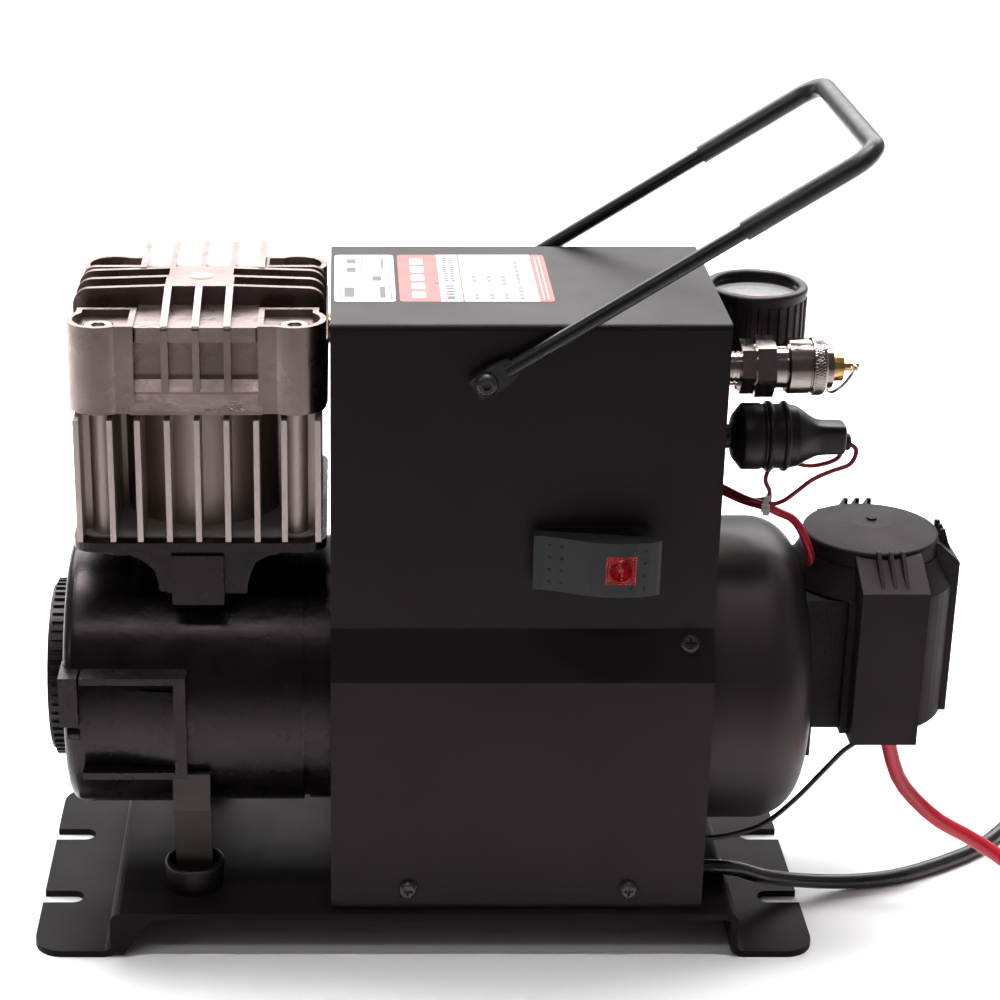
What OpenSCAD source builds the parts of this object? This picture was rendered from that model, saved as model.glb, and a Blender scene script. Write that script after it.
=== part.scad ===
// Portable 12 V oil-free piston air compressor on a bent steel base plate.
// +X runs along the crankshaft towards the relay, +Y to the back, +Z up.
// The origin is the middle of the base plate, on the floor.

/* [Base plate] */
// Length over both feet
base_len = 329; // [325:1:335]
// Depth from front to back
base_w = 141; // [138:1:144]
// Height of the raised platform
deck_z = 21; // [20:0.5:22]
// Thickness of the bent sheet
plate_t = 3; // [2.5:0.5:3.5]
// Distance between the front and the back slots
slot_gap = 54; // [50:1:58]
// Width of a mounting slot
slot_w = 9.5; // [8:0.5:11]
// Length of a slot from the edge to its round end
slot_len = 17.5; // [15:0.5:19]

/* [Housing cover] */
// Left end of the cover
cover_x0 = -39; // [-39.5:0.5:-38.5]
// Right end of the cover
cover_x1 = 116; // [115.5:0.5:116.5]
// Top face of the cover
cover_top = 274; // [272:1:276]
// Thickness of the cover sheet
cover_t = 1.2; // [1:0.1:1.3]

/* [Motor and crankcase] */
// Height of the crankshaft axis
axis_z = 102; // [101.5:0.5:102]
// Outer radius of the motor can
motor_r = 65; // [64.5:0.1:65]
// Outer radius of the crankcase
case_r = 58; // [57:0.5:58]
// Travel of the piston
stroke = 28; // [24:1:28]
// Radius of the cylinder bore
bore_r = 30; // [29:0.5:30]

/* [Carrying handle] */
// Length of an arm from its pivot to the corner
arm_len = 170.5; // [160:0.5:175]
// Angle of the arms above the horizontal
arm_angle = 32.3; // [25:0.1:40]
// Diameter of the handle rod
rod_d = 6; // [5:0.5:6.5]

/* [Supply leads] */
// Outer diameter of a supply lead
lead_d = 6.5; // [6:0.5:6.5]

/* [Hidden] */
$fn = 64;
eps = 0.01;

// Bends of the cover: a straight lower part, a slope and a straight upper part
low_y = 66.5;
low_z = 126.5;
up_y = 55;
up_z = 145.4;
slope_a = atan2(low_y - up_y, up_z - low_z);
screw_xs = [-7, 85];
screw_z = 31;
slope_screw = [106, 140];
tap_r = 2;
hole_r = 2.1;

// Handle
pivot = [21.4, 251.7];
arm_y = 59;
bend_r = 11;
grip_from = 113;
flat_end = 12.2;
flat_t = 3;
pivot_r = 2.5;

// Switch
sw = [66.3, 177.8];
sw_pivot_y = -51;
sw_tilt = 8.6;
bezel_t = 1.5;

// Crankcase, cylinder and head
cyl_x = -91.5;
case_x0 = -142;
seam_x = -98;
case_x1 = -50.4;
flange_z = 181;
head_z = 235;
head_w = 103;
head_d = 102;
boss_xy = [38.5, 37.5];
boss_r = 12.5;
fin_xs = [0, 11.7, 23.4, 34.3, 47.6];
bolt_r = 3;
recess_w = 84;
crown_z = head_z - 0.5;
big_end_z = axis_z - stroke / 2;

// Motor
can_x0 = -26;
can_x1 = 159.5;
can_t = 3;
shoulder = 20;
shaft_r = 7.5;
run_gap = 0.05;

// Relay
relay_x = 188.7;
relay_z0 = 87.5;

// Air fittings
port_y = -15;
coupler_z = 243.6;
psw_z = 213.4;
stem_x = 172.3;
gauge = [137, 20];
gauge_top = 268;
gauge_port_z = 228;

// Coils of the supply leads
coil_mid = 37;
coil_red = [345, -46];
coil_black = [345, 48];

// Points on an arc from angle a0 to a1
function arc(cx, cy, r, a0, a1, n = 8) =
    [for (i = [0:n]) let(a = a0 + (a1 - a0) * i / n) [cx + r * cos(a), cy + r * sin(a)]];

// The same outline seen in a mirror across the vertical axis, in reverse order
function mirrored(p) = [for (i = [len(p) - 1:-1:0]) [-p[i][0], p[i][1]]];

// Rounded rectangle about the origin
function round_rect(w, d, r) = concat(
    arc(w / 2 - r, d / 2 - r, r, 0, 90, 6), arc(r - w / 2, d / 2 - r, r, 90, 180, 6),
    arc(r - w / 2, r - d / 2, r, 180, 270, 6), arc(w / 2 - r, r - d / 2, r, 270, 360, 6));

// Toothed outline with n teeth between two radii
function teeth(n, r0, r1, share = 0.5) = [for (i = [0:n - 1], k = [0:3])
    let(a = 360 / n * (i + [0, 0.1, share, share + 0.1][k]), r = [r0, r1, r1, r0][k])
    [r * cos(a), r * sin(a)]];

// Section of the cover at a depth t below its outer face
function cover_half(t) = let(s = t * tan(slope_a / 2), r = max(2.5 - t, 0.2)) concat(
    [[low_y - t, deck_z], [low_y - t, low_z - s], [up_y - t, up_z - s]],
    arc(up_y - t - r, cover_top - t - r, r, 0, 90, 5));
function cover_profile(t) = concat(cover_half(t), mirrored(cover_half(t)));

// Extrudes a section in Y and Z along X
module along_x(x0, x1) translate([x0, 0, 0]) rotate([90, 0, 90]) linear_extrude(x1 - x0) children();
// Extrudes a section in X and Z along Y
module along_y(y0, y1) translate([0, y1, 0]) rotate([90, 0, 0]) linear_extrude(y1 - y0) children();
// Cylinders along the axes
module xcyl(r, x0, x1, y = 0, z = axis_z)
    translate([x0, y, z]) rotate([0, 90, 0]) cylinder(r = r, h = x1 - x0);
module ycyl(r, y0, y1, x, z) translate([x, y0, z]) rotate([-90, 0, 0]) cylinder(r = r, h = y1 - y0);
module xhex(r, x0, x1, y, z)
    translate([x0, y, z]) rotate([0, 90, 0]) rotate([0, 0, -22]) cylinder(r = r, h = x1 - x0, $fn = 6);
// Turns an outline of position along X and radius about an X axis
module xturn(p, y = 0, z = axis_z) translate([0, y, z]) rotate([0, 90, 0])
    rotate_extrude() polygon([for (q = p) [q[1], q[0]]]);
// A box between two corners
module span(a, b) translate(a) cube(b - a);
// A child and its image behind the middle plane
module both_sides() {
    children();
    mirror([0, 1, 0]) children();
}

// A tube swept along a route, with flat ends
function unit(v) = v / norm(v);
function ring_at(p, t, u, r, n) = let(w = cross(t, u))
    [for (k = [0:n - 1]) p + r * cos(360 * k / n) * u + r * sin(360 * k / n) * w];
function tangents(p) = [for (i = [0:len(p) - 1])
    unit(p[min(i + 1, len(p) - 1)] - p[max(i - 1, 0)])];
function side_of(t) = unit(cross(t, abs(t[2]) > 0.9 ? [0, 1, 0] : [0, 0, 1]));
function sides(t, i = 0, u = undef) = i >= len(t) ? [] :
    let(v = i == 0 ? side_of(t[0]) : unit(u - (u * t[i]) * t[i])) concat([v], sides(t, i + 1, v));
module tube(route, r, n = 8) {
    t = tangents(route);
    u = sides(t);
    m = len(route);
    rings = [for (i = [0:m - 1]) each ring_at(route[i], t[i], u[i], r, n)];
    walls = [for (i = [0:m - 2], k = [0:n - 1])
        [i * n + k, i * n + (k + 1) % n, (i + 1) * n + (k + 1) % n, (i + 1) * n + k]];
    polyhedron(rings, concat([[for (k = [n - 1:-1:0]) k]], walls, [[for (k = [0:n - 1]) (m - 1) * n + k]]));
}
// Round numbers joined by a smooth curve through every point
function smooth_at(a, b, c, d, s) = 0.5 * (2 * b + (c - a) * s + (2 * a - 5 * b + 4 * c - d) * s * s
    + (3 * b - a - 3 * c + d) * s * s * s);
function smooth(p, n) = concat([for (i = [0:len(p) - 2], k = [0:n - 1])
    smooth_at(p[max(i - 1, 0)], p[i], p[i + 1], p[min(i + 2, len(p) - 1)], k / n)], [p[len(p) - 1]]);

// ---- Base, cover and supports ----

foot_x = base_len / 2;
riser_x = 131.5;
// Upper and lower edge of the left half of the bent sheet
function sheet_top() = concat([[-foot_x, plate_t]],
    arc(-riser_x - 3, plate_t + 3, 3, 270, 360, 4), arc(-riser_x + 4, deck_z - 4, 4, 180, 90, 4));
function sheet_low() = concat([[-foot_x, 0]],
    arc(-riser_x - 3, 3 + plate_t, 3 + plate_t, 270, 360, 4),
    arc(-riser_x + 4, deck_z - 4, 4 - plate_t, 180, 90, 4));
function reversed(p) = [for (i = [len(p) - 1:-1:0]) p[i]];

module slot_cut(side, y) {
    end_x = foot_x - slot_len + slot_w / 2;
    translate([side * end_x, y, -1]) cylinder(d = slot_w, h = 12);
    translate([side > 0 ? end_x : -foot_x - 5, y - slot_w / 2, -1]) cube([foot_x + 5 - end_x, slot_w, 12]);
}

module base_plate() color([0.17, 0.16, 0.17]) {
    difference() {
        intersection() {
            along_y(-base_w / 2, base_w / 2)
                polygon(concat(sheet_top(), mirrored(sheet_top()), reversed(mirrored(sheet_low())),
                    reversed(sheet_low())));
            linear_extrude(60) polygon(round_rect(base_len, base_w, 12));
        }
        for (side = [-1, 1], y = [-slot_gap / 2, slot_gap / 2]) slot_cut(side, y);
    }
    // Gussets under the left end of the platform
    both_sides() along_y(-base_w / 2, -base_w / 2 + plate_t)
        polygon([[-riser_x + 1, 3], [-riser_x + 5, 1], [-riser_x + 18, deck_z - plate_t + 1],
            [-riser_x + 1, deck_z - plate_t + 1]]);
    // Welded lips that take the lower cover screws
    both_sides() difference() {
        span([-22, -low_y + cover_t, deck_z], [104, -low_y + cover_t + 2, deck_z + 20]);
        for (x = screw_xs) ycyl(hole_r, -70, -50, x, screw_z);
    }
}

// Sheet bracket with two curved uprights under the motor
module motor_cradle() color([0.2, 0.2, 0.21]) difference() {
    union() {
        span([14, -28, deck_z], [112, 28, deck_z + 2]);
        for (x = [14, 109]) span([x, -28, deck_z], [x + 3, 28, deck_z + 40]);
    }
    xcyl(motor_r, 0, 130);
}

module slope_axis()
    translate([slope_screw[0], -low_y + (slope_screw[1] - low_z) * tan(slope_a), slope_screw[1]])
    rotate([90 - slope_a, 0, 0]) children();

module housing_cover() color([0.15, 0.14, 0.15]) difference() {
    along_x(cover_x0, cover_x1) difference() {
        polygon(cover_profile(0));
        polygon(concat(cover_half(cover_t), mirrored(cover_half(cover_t)),
            [[-low_y + cover_t, deck_z - 5], [low_y - cover_t, deck_z - 5]]));
    }
    span([sw[0] - 20.5, -60, sw[1] - 10.5], [sw[0] + 20.5, -50, sw[1] + 10.5]);
    both_sides() {
        ycyl(pivot_r + 0.2, -60, -50, pivot[0], pivot[1]);
        for (x = screw_xs) ycyl(hole_r, -70, -60, x, screw_z);
        slope_axis() translate([0, 0, -4]) cylinder(r = hole_r, h = 8);
    }
}

// Flanged sheets that close the two ends of the cover
module end_sheet(x, dir, flange_len) {
    in0 = min(x, x + dir * 1.5);
    along_x(in0, in0 + 1.5) polygon(cover_profile(cover_t));
    f0 = dir > 0 ? x + 1.5 : x - 1.5 - flange_len;
    along_x(f0, f0 + flange_len) difference() {
        polygon(cover_profile(cover_t));
        polygon(concat(cover_half(cover_t + 1.5), mirrored(cover_half(cover_t + 1.5)),
            [[-low_y + cover_t + 1.5, deck_z - 5], [low_y - cover_t - 1.5, deck_z - 5]]));
    }
}
module end_panels() color([0.13, 0.13, 0.14]) {
    difference() {
        end_sheet(cover_x0 + 1.2, 1, 8);
        xcyl(57, -60, -36);
        xcyl(motor_r + 0.6, -37 + 0.7, 0);
        xcyl(6.6, -60, 0, 20, 248);
    }
    difference() {
        end_sheet(cover_x1 - 1, -1, 12);
        span([90, -80, 0], [120, 80, low_z]);
        xcyl(motor_r + 0.2, 90, 120);
        xcyl(6.5, 90, 120, port_y, coupler_z);
        xcyl(5.2, 90, 120, port_y, psw_z);
        xcyl(5.2, 90, 120, gauge[1], gauge_port_z);
        xcyl(6, 90, 120, 12, 186);
        both_sides() slope_axis() translate([0, 0, -8]) cylinder(r = hole_r, h = 12);
    }
}

// Pan head screw standing on its seat, shank down
module pan_screw(shank) difference() {
    union() {
        rotate_extrude()
            polygon(concat([[0, 0], [4, 0], [4, 0.7]], arc(1.6, 0.7, 2.4, 0, 60, 4), [[0, 2.9]]));
        translate([0, 0, -shank]) cylinder(r = tap_r, h = shank);
    }
    for (a = [0, 90]) rotate([0, 0, a]) translate([-2, -0.4, 1.4]) cube([4, 0.8, 3]);
}
module cover_screws() color([0.35, 0.35, 0.36]) both_sides() {
    for (x = screw_xs) translate([x, -low_y, screw_z]) rotate([90, 0, 0]) pan_screw(6);
    slope_axis() pan_screw(4);
}

// Strap that holds the crankcase down, bent so that its foot stands in the cup
module support_straps() color([0.2, 0.18, 0.18]) both_sides()
    translate([-104.6, 0, 0]) rotate([90, 0, 90]) linear_extrude(15.4)
        polygon([[-56, 79], [-56, 62], [-46.5, 28], [-43.5, 28], [-53, 62.5], [-53, 79]]);

module support_cups() color([0.12, 0.12, 0.13]) both_sides() translate([-97, -45, deck_z]) rotate_extrude()
    polygon(concat([[0, 0]], [[12, 0]], arc(11.4, 10.8, 1.2, 0, 90, 4), [[10.6, 12], [10.6, 7], [0, 7]]));

// ---- Carrying handle ----

// Places its child with +X along the arm, at the pivot
module at_arm() translate([pivot[0], 0, pivot[1]]) rotate([0, -arm_angle, 0]) children();
module bent_rod(r, from) at_arm() {
    both_sides() {
        translate([from, -arm_y, 0]) rotate([0, 90, 0]) cylinder(r = r, h = arm_len - bend_r - from);
        translate([arm_len - bend_r, -arm_y + bend_r, 0]) rotate([0, 0, -90])
            rotate_extrude(angle = 90) translate([bend_r, 0]) circle(r = r);
    }
    translate([arm_len, -arm_y + bend_r, 0]) rotate([-90, 0, 0]) cylinder(r = r, h = 2 * (arm_y - bend_r));
}
// Upper edge of a flattened rod end
flat_half = [[-5.4, 4.5], [-1, 5], [4, 5.2], [9, 4.7], [flat_end, 3.6]];
module handle_bail() color([0.12, 0.12, 0.12]) {
    difference() {
        union() {
            bent_rod(rod_d / 2, flat_end - 3);
            at_arm() both_sides() along_y(-arm_y - flat_t / 2, flat_t / 2 - arm_y) polygon(concat(flat_half,
                [for (i = [len(flat_half) - 1:-1:0]) [flat_half[i][0], -flat_half[i][1]]]));
        }
        ycyl(pivot_r + run_gap, -70, 70, pivot[0], pivot[1]);
    }
}
module handle_grip() color([0.1, 0.1, 0.1]) difference() {
    bent_rod(3.9, grip_from);
    bent_rod(rod_d / 2, grip_from - 5);
}
// Button head screw with its spacer and nut at each pivot
module pivot_hardware() color([0.25, 0.24, 0.25]) both_sides() translate([pivot[0], 0, pivot[1]]) {
    rotate([90, 0, 0]) difference() {
        union() {
            translate([0, 0, arm_y + flat_t / 2 + 0.1]) rotate_extrude()
                polygon(concat([[0, 0], [4.6, 0], [4.6, 0.5]], arc(1.9, 0.5, 2.7, 0, 70, 5), [[0, 3.1]]));
            translate([0, 0, 47]) cylinder(r = pivot_r, h = arm_y + flat_t / 2 + 0.1 - 47);
        }
        translate([0, 0, arm_y + flat_t / 2 + 1.6]) cylinder(r = 1.7, h = 4, $fn = 6);
    }
    rotate([90, 0, 0]) translate([0, 0, up_y]) difference() {
        cylinder(r = 4.5, h = arm_y - flat_t / 2 - up_y - 0.1);
        translate([0, 0, -1]) cylinder(r = pivot_r, h = 5);
    }
    rotate([90, 0, 0]) translate([0, 0, up_y - cover_t - 4]) difference() {
        cylinder(r = 4.6, h = 4, $fn = 6);
        translate([0, 0, -1]) cylinder(r = pivot_r, h = 6);
    }
}

// ---- Rocker switch ----

module switch_body() color([0.1, 0.1, 0.1]) translate([sw[0], 0, sw[1]]) difference() {
    union() {
        along_y(-up_y - bezel_t, -up_y) polygon(round_rect(43.5, 25, 2));
        span([-20.3, -up_y, -10.3], [20.3, -28, 10.3]);
        for (x = [-12, 0, 12]) span([x - 3.2, -28, -0.4], [x + 3.2, -19, 0.4]);
    }
    span([-17.5, -60, -9.2], [17.5, -44, 9.2]);
    translate([0, sw_pivot_y, -12]) cylinder(r = 1.55, h = 24);
}
// Front of the paddle: position along it and height above the bezel
paddle_front = [[-25, 6.6], [-21, 6.9], [-15, 8.6], [-9, 11], [-3, 13.2], [3, 14.6], [9, 15], [15, 14.6],
    [20, 13.6], [23.5, 12.4], [25, 11.2]];
module at_paddle() translate([sw[0], 0, sw[1]]) children();
module switch_paddle() color([0.13, 0.13, 0.14]) at_paddle() difference() {
    union() {
        linear_extrude(23, center = true) polygon(concat(
            [for (q = paddle_front) [q[0], -up_y - bezel_t - q[1]]],
            [[24.2, -up_y - bezel_t - 7.9], [-24.2, -up_y - bezel_t - 0.7]]));
        translate([0, sw_pivot_y, 0]) rotate([0, 0, -sw_tilt]) span([-7, -10, -8.8], [7, 3, 8.8]);
        translate([0, sw_pivot_y, -10.2]) cylinder(r = 1.5, h = 20.4);
    }
    span([3, -75, -6], [15, -up_y - bezel_t - 12.6, 6]);
}
module switch_lens() color([0.7, 0.03, 0.05]) at_paddle() {
    span([3, -up_y - bezel_t - 14.9, -6], [15, -up_y - bezel_t - 12.6, 6]);
}

// ---- Crankcase and cylinder ----

module at_corners() for (i = [-1, 1], j = [-1, 1])
    translate([i * boss_xy[0], j * boss_xy[1], 0]) children();
module bolt_places() translate([cyl_x, 0, 0]) at_corners() children();

// Concave right flank of the neck, from the barrel up to the flange
function neck_half() = concat([[18, 120]], arc(48, flange_z - 31.4, 30, 180, 122, 6));
// Right half of the thin web under the edge of the flange
function web_half() = concat([[13.5, 157]], arc(36, 153, 22.2, 161, 100, 6), [[32, 176]]);
// Open frame cast on the side of the barrel, with a tapered filling between its shelves
module cast_pad() {
    difference() {
        span([-141, -62, 80], [seam_x, -40, 126]);
        span([-142, -63, 83], [-102.9, -45, 123]);
    }
    intersection() {
        xturn([[-141, 0], [-141, 56], [-102, 61], [-102, 0]]);
        span([-141, -62, 84.5], [-102, -45, 118]);
    }
}

module crankcase() color([0.09, 0.09, 0.09]) difference() {
    union() {
        xcyl(case_r, case_x0, seam_x);
        xcyl(case_r - 0.8, seam_x, case_x1);
        // Flange under the cylinder and the step below it
        translate([cyl_x, 0, flange_z - 4]) linear_extrude(4) polygon(round_rect(head_w - 1, head_d, 9));
        translate([cyl_x - 3, 0, flange_z - 6.5]) linear_extrude(2.5) polygon(round_rect(78, 96, 9));
        // Neck between the flange and the barrel
        translate([cyl_x, 0, 0]) along_y(-31, 31) polygon(concat(neck_half(), mirrored(neck_half())));
        both_sides() translate([cyl_x, 0, 0]) along_y(-46, -43.5)
            polygon(concat(web_half(), mirrored(web_half())));
        both_sides() span([-103, -50, 153.5], [-82, -30, flange_z - 6]);
        both_sides() cast_pad();
        both_sides() span([-103, -53, 64], [-91, -40, 76]);
    }
    xcyl(case_r - 4, case_x0 - 1, case_x1 - 4);
    xcyl(40, case_x1 - 10, case_x1 + 1);
    span([cyl_x - 9, -28, 120], [cyl_x + 9, 28, flange_z + 1]);
    translate([0, 0, flange_z - 14]) bolt_places() cylinder(r = bolt_r + 0.05, h = 30);
}
module crankcase_cover() color([0.1, 0.1, 0.1]) {
    xturn(concat([[case_x0, 21]], [[case_x0, case_r]],
        [for (q = arc(case_x0 - 2, case_r - 5, 5, 90, 180, 6)) q], [[case_x0 - 7, 21]]));
    // Lugs that meet the cast pads
    both_sides() span([case_x0 - 7.6, -62, 104], [case_x0, -45, 126]);
    both_sides() xcyl(3, case_x0 - 5, case_x0, -56.5, 99);
}
module intake_cap() color([0.12, 0.12, 0.12]) difference() {
    union() {
        translate([case_x0 - 14, 0, axis_z]) rotate([0, 90, 0]) linear_extrude(7)
            polygon(teeth(56, 36.8, 38, 0.45));
        xcyl(35.5, case_x0 - 15.5, case_x0 - 13);
        xcyl(20.8, case_x0 - 7.5, case_x0 - 1);
    }
    xcyl(33, case_x0 - 13.5, case_x0 - 8.5);
    xcyl(17, case_x0 - 9, case_x0);
    for (a = [0:30:330]) translate([0, 0, axis_z]) rotate([a, 0, 0])
        xcyl(2.2, case_x0 - 17, case_x0 - 12, 0, 26);
}
module intake_filter() color([0.75, 0.73, 0.68]) difference() {
    xcyl(33, case_x0 - 13.5, case_x0 - 8.5);
    xcyl(5, case_x0 - 15, case_x0 - 7);
}
module motor_adapter() color([0.12, 0.12, 0.12]) xturn([
    [case_x1, 9], [case_x1, 55.5], [-48, 55.5], [-48, 56.6], [-34, 56.6], [-34, motor_r],
    [can_x0, motor_r], [can_x0, motor_r - can_t - run_gap], [can_x0 + 4, motor_r - can_t - run_gap],
    [can_x0 + 4, 57], [-32, 57], [-32, 22], [-30, 22], [-30, 17.5], [-41, 17.5], [-41, 9]]);

// Outline of the cylinder without its fins: a round barrel, a web and four bolt columns
module cylinder_core() {
    circle(r = bore_r + 3.6, $fn = 96);
    translate([-47, -13]) square([94, 26]);
    for (i = [-1, 1], j = [-1, 1]) translate([i * 41, j * 24]) square([12.4, 24], center = true);
    at_corners() circle(r = 5);
}
module gaskets() color([0.45, 0.42, 0.38]) {
    translate([cyl_x, 0, flange_z]) difference() {
        linear_extrude(0.6) polygon(round_rect(98, 90, 9));
        translate([0, 0, -1]) cylinder(r = bore_r + 2, h = 3);
        at_corners() translate([0, 0, -1]) cylinder(r = bolt_r + 0.3, h = 3);
    }
    translate([cyl_x, 0, head_z]) difference() {
        linear_extrude(0.8) polygon(round_rect(recess_w, recess_w, 20));
        translate([0, 0, -1]) cylinder(r = bore_r + 1, h = 3);
        at_corners() translate([0, 0, -1]) cylinder(r = bolt_r + 5, h = 3);
    }
}
module finned_cylinder() color([0.72, 0.7, 0.68]) difference() {
    translate([cyl_x, 0, flange_z + 0.6]) {
        linear_extrude(head_z - flange_z - 0.6) cylinder_core();
        // Nine fins that stop just below the head
        linear_extrude(head_z - flange_z - 2.4) for (i = [-1, 1], x = fin_xs)
            translate([i * x - 1.15, -head_d / 2]) square([2.3, head_d]);
    }
    translate([cyl_x, 0, flange_z - 1]) cylinder(r = bore_r, h = 60);
    translate([0, 0, flange_z - 1]) bolt_places() cylinder(r = bolt_r + 0.3, h = 60);
}
module valve_plate() color([0.6, 0.6, 0.62]) translate([cyl_x, 0, head_z + 0.8]) difference() {
    linear_extrude(4) polygon(round_rect(recess_w, recess_w, 20));
    at_corners() translate([0, 0, -1]) cylinder(r = bolt_r + 5, h = 6);
    for (x = [-6, 6]) translate([x, 0, -1]) cylinder(r = 3.5, h = 6);
    translate([20, 0, -1]) cylinder(r = 1.6, h = 6);
}
module discharge_reed() color([0.75, 0.75, 0.78]) translate([cyl_x, 0, head_z + 4.8]) {
    span([-11, -5, 0], [24, 5, 0.4]);
    cylinder(r = 1, h = 0.4);
    difference() {
        span([14, -5, 0.4], [24, 5, 1.6]);
        translate([20, 0, -1]) cylinder(r = 1.6, h = 6);
    }
}

// Cooling head: a block with corner columns, a centre pad, side fins and front and back ribs
pad_z = 277;
boss_top = 271;
// Outline of a corner column, grown by g: round at the bolt, with a shelf towards the middle
module boss_outline(g = 0) {
    circle(r = boss_r + g);
    translate([-14.3 - g, -10.5 - g]) square([14.3 + g, 24.5 + 2 * g]);
    translate([-8, -8]) square([17.5 + g, 22 + g]);
}
module at_bosses() for (i = [0, 1], j = [0, 1]) mirror([i, 0, 0]) mirror([0, j, 0])
    translate([boss_xy[0], -boss_xy[1], 0]) children();
module head_block() {
    linear_extrude(27) polygon(round_rect(head_w, head_d - 11, 12));
    // Lip along the foot of the front and back walls
    for (i = [0, 1]) mirror([0, i, 0]) rotate([90, 0, 90]) translate([0, 0, -26]) linear_extrude(52)
        polygon([[-45, 8], [-49.3, 1.5], [-49.3, 0], [-40, 0], [-40, 8]]);
    // Raised floor under the ribs and the fins
    linear_extrude(34.5) translate([0, -3.5]) polygon(round_rect(48.4, 83, 1));
    at_bosses() linear_extrude(boss_top - head_z) boss_outline();
}
// A rib or fin along Y at x, with a sloping end towards the front
module front_rib(x) translate([x, 0, 0]) rotate([90, 0, 90]) translate([0, 0, -1.4]) linear_extrude(2.8)
    polygon(concat([[0, 10], [-46, 10]], arc(-43.5, 33.5, 2.5, 180, 90, 4),
        [[-14, pad_z - head_z], [0, pad_z - head_z]]));
// A fin along X at y, rounded at both ends and as high as the pad within flat of the middle
module side_fin(y, low, r, flat, drop) translate([0, y, 0]) rotate([90, 0, 0]) translate([0, 0, -1.3])
    linear_extrude(2.6) polygon(concat([[-50.8, 20]], arc(r - 50.8, pad_z - head_z - low, r, 180, 95, 6),
        [[-flat, pad_z - head_z - drop], [flat, pad_z - head_z - drop]],
        arc(50.8 - r, pad_z - head_z - low, r, 85, 0, 6), [[50.8, 20]]));
module head_fins() {
    translate([-13, -14, 20]) cube([26, 27, pad_z - head_z - 20]);
    for (y = [-12.7, 0, 11.7]) side_fin(y, 8, 7, 13, 0);
    side_fin(24, 9, 6, 27, 3);
    for (x = [-12.3, 0, 12.3]) front_rib(x);
    for (x = [-24.2, -12.3, 0, 12.3, 24.2]) translate([x - 1.3, 12, 20])
        cube([2.6, 38.5, pad_z - head_z - 20]);
}
module cylinder_head() color([0.78, 0.76, 0.74]) translate([cyl_x, 0, head_z]) difference() {
    union() {
        head_block();
        head_fins();
    }
    // Pockets between the front ribs, with a sloping ledge at the foot of each
    for (q = [[-24.4, 10.7], [-10.9, 9.5], [1.4, 9.5], [13.7, 10.7]])
        translate([q[0], 0, 0]) rotate([90, 0, 90]) linear_extrude(q[1])
            polygon([[-55, 8], [-45.7, 8], [-42.5, 12.5], [-39.5, 13.5], [-38.5, 28.5], [-55, 28.5]]);
    // Dimple in the centre pad
    translate([0, -0.5, pad_z - head_z + 23.4]) sphere(r = 24, $fn = 96);
    // Sunk floor of the bolt bosses
    at_bosses() translate([0, 0, 33]) linear_extrude(10) boss_outline(-2.4);
    translate([0, 0, -1]) linear_extrude(5.8) polygon(round_rect(recess_w + 0.3, recess_w + 0.3, 20.2));
    // Discharge and suction chambers over the plate
    span([-36, -14, 4], [36, 14, 16]);
    xcyl(6.3, 30, 60, 20, 13);
    span([28, 8, 8], [34, 24, 16]);
    at_bosses() translate([0, 0, -1]) {
        cylinder(r = bolt_r + 0.2, h = 60);
        translate([0, 0, 28]) cylinder(r = 6.2, h = 20);
    }
}
module head_bolts() color([0.55, 0.54, 0.53]) bolt_places() difference() {
    union() {
        translate([0, 0, flange_z - 6]) cylinder(r = bolt_r, h = head_z + 27 - flange_z + 6);
        translate([0, 0, head_z + 27]) cylinder(r = 5.4, h = 6.4);
    }
    translate([0, 0, head_z + 30]) cylinder(r = 3.2, h = 6, $fn = 6);
}

// ---- Piston assembly, drawn at the bottom of its stroke ----

module piston_rod() color([0.7, 0.7, 0.72]) difference() {
    top = crown_z - stroke;
    union() {
        translate([cyl_x, 0, top - 3]) cylinder(r = bore_r - 2, h = 3);
        translate([cyl_x, 0, top - 10]) cylinder(r = bore_r - 2, h = 5.5);
        translate([cyl_x, 0, top - 6]) cylinder(r = bore_r - 6, h = 4);
        span([cyl_x - 4, -8, big_end_z + 15], [cyl_x + 4, 8, top - 9]);
        xcyl(19, cyl_x - 4, cyl_x + 4, 0, big_end_z);
    }
    xcyl(14, cyl_x - 5, cyl_x + 5, 0, big_end_z);
}
module cup_seal() color([0.9, 0.88, 0.82]) translate([cyl_x, 0, crown_z - stroke - 4.5]) difference() {
    cylinder(r = bore_r - run_gap, h = 1.5);
    translate([0, 0, -1]) cylinder(r = bore_r - 6, h = 4);
}
// Ball bearing in the big end, with the pin that the crank disc drives
module crank_bearing() color([0.62, 0.62, 0.64]) {
    difference() {
        xcyl(14, cyl_x - 4, cyl_x + 4, 0, big_end_z);
        xcyl(6, cyl_x - 5, cyl_x + 5, 0, big_end_z);
    }
    xcyl(6, cyl_x - 5, cyl_x + 6.5, 0, big_end_z);
}
module crank_disc() color([0.5, 0.5, 0.5]) difference() {
    union() {
        xcyl(24, -84, -72);
        intersection() {
            xcyl(44, -84, -72);
            span([-84, -44, axis_z], [-72, 44, axis_z + 44]);
        }
    }
    xcyl(shaft_r, -90, -60);
}

// ---- Motor ----

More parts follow.
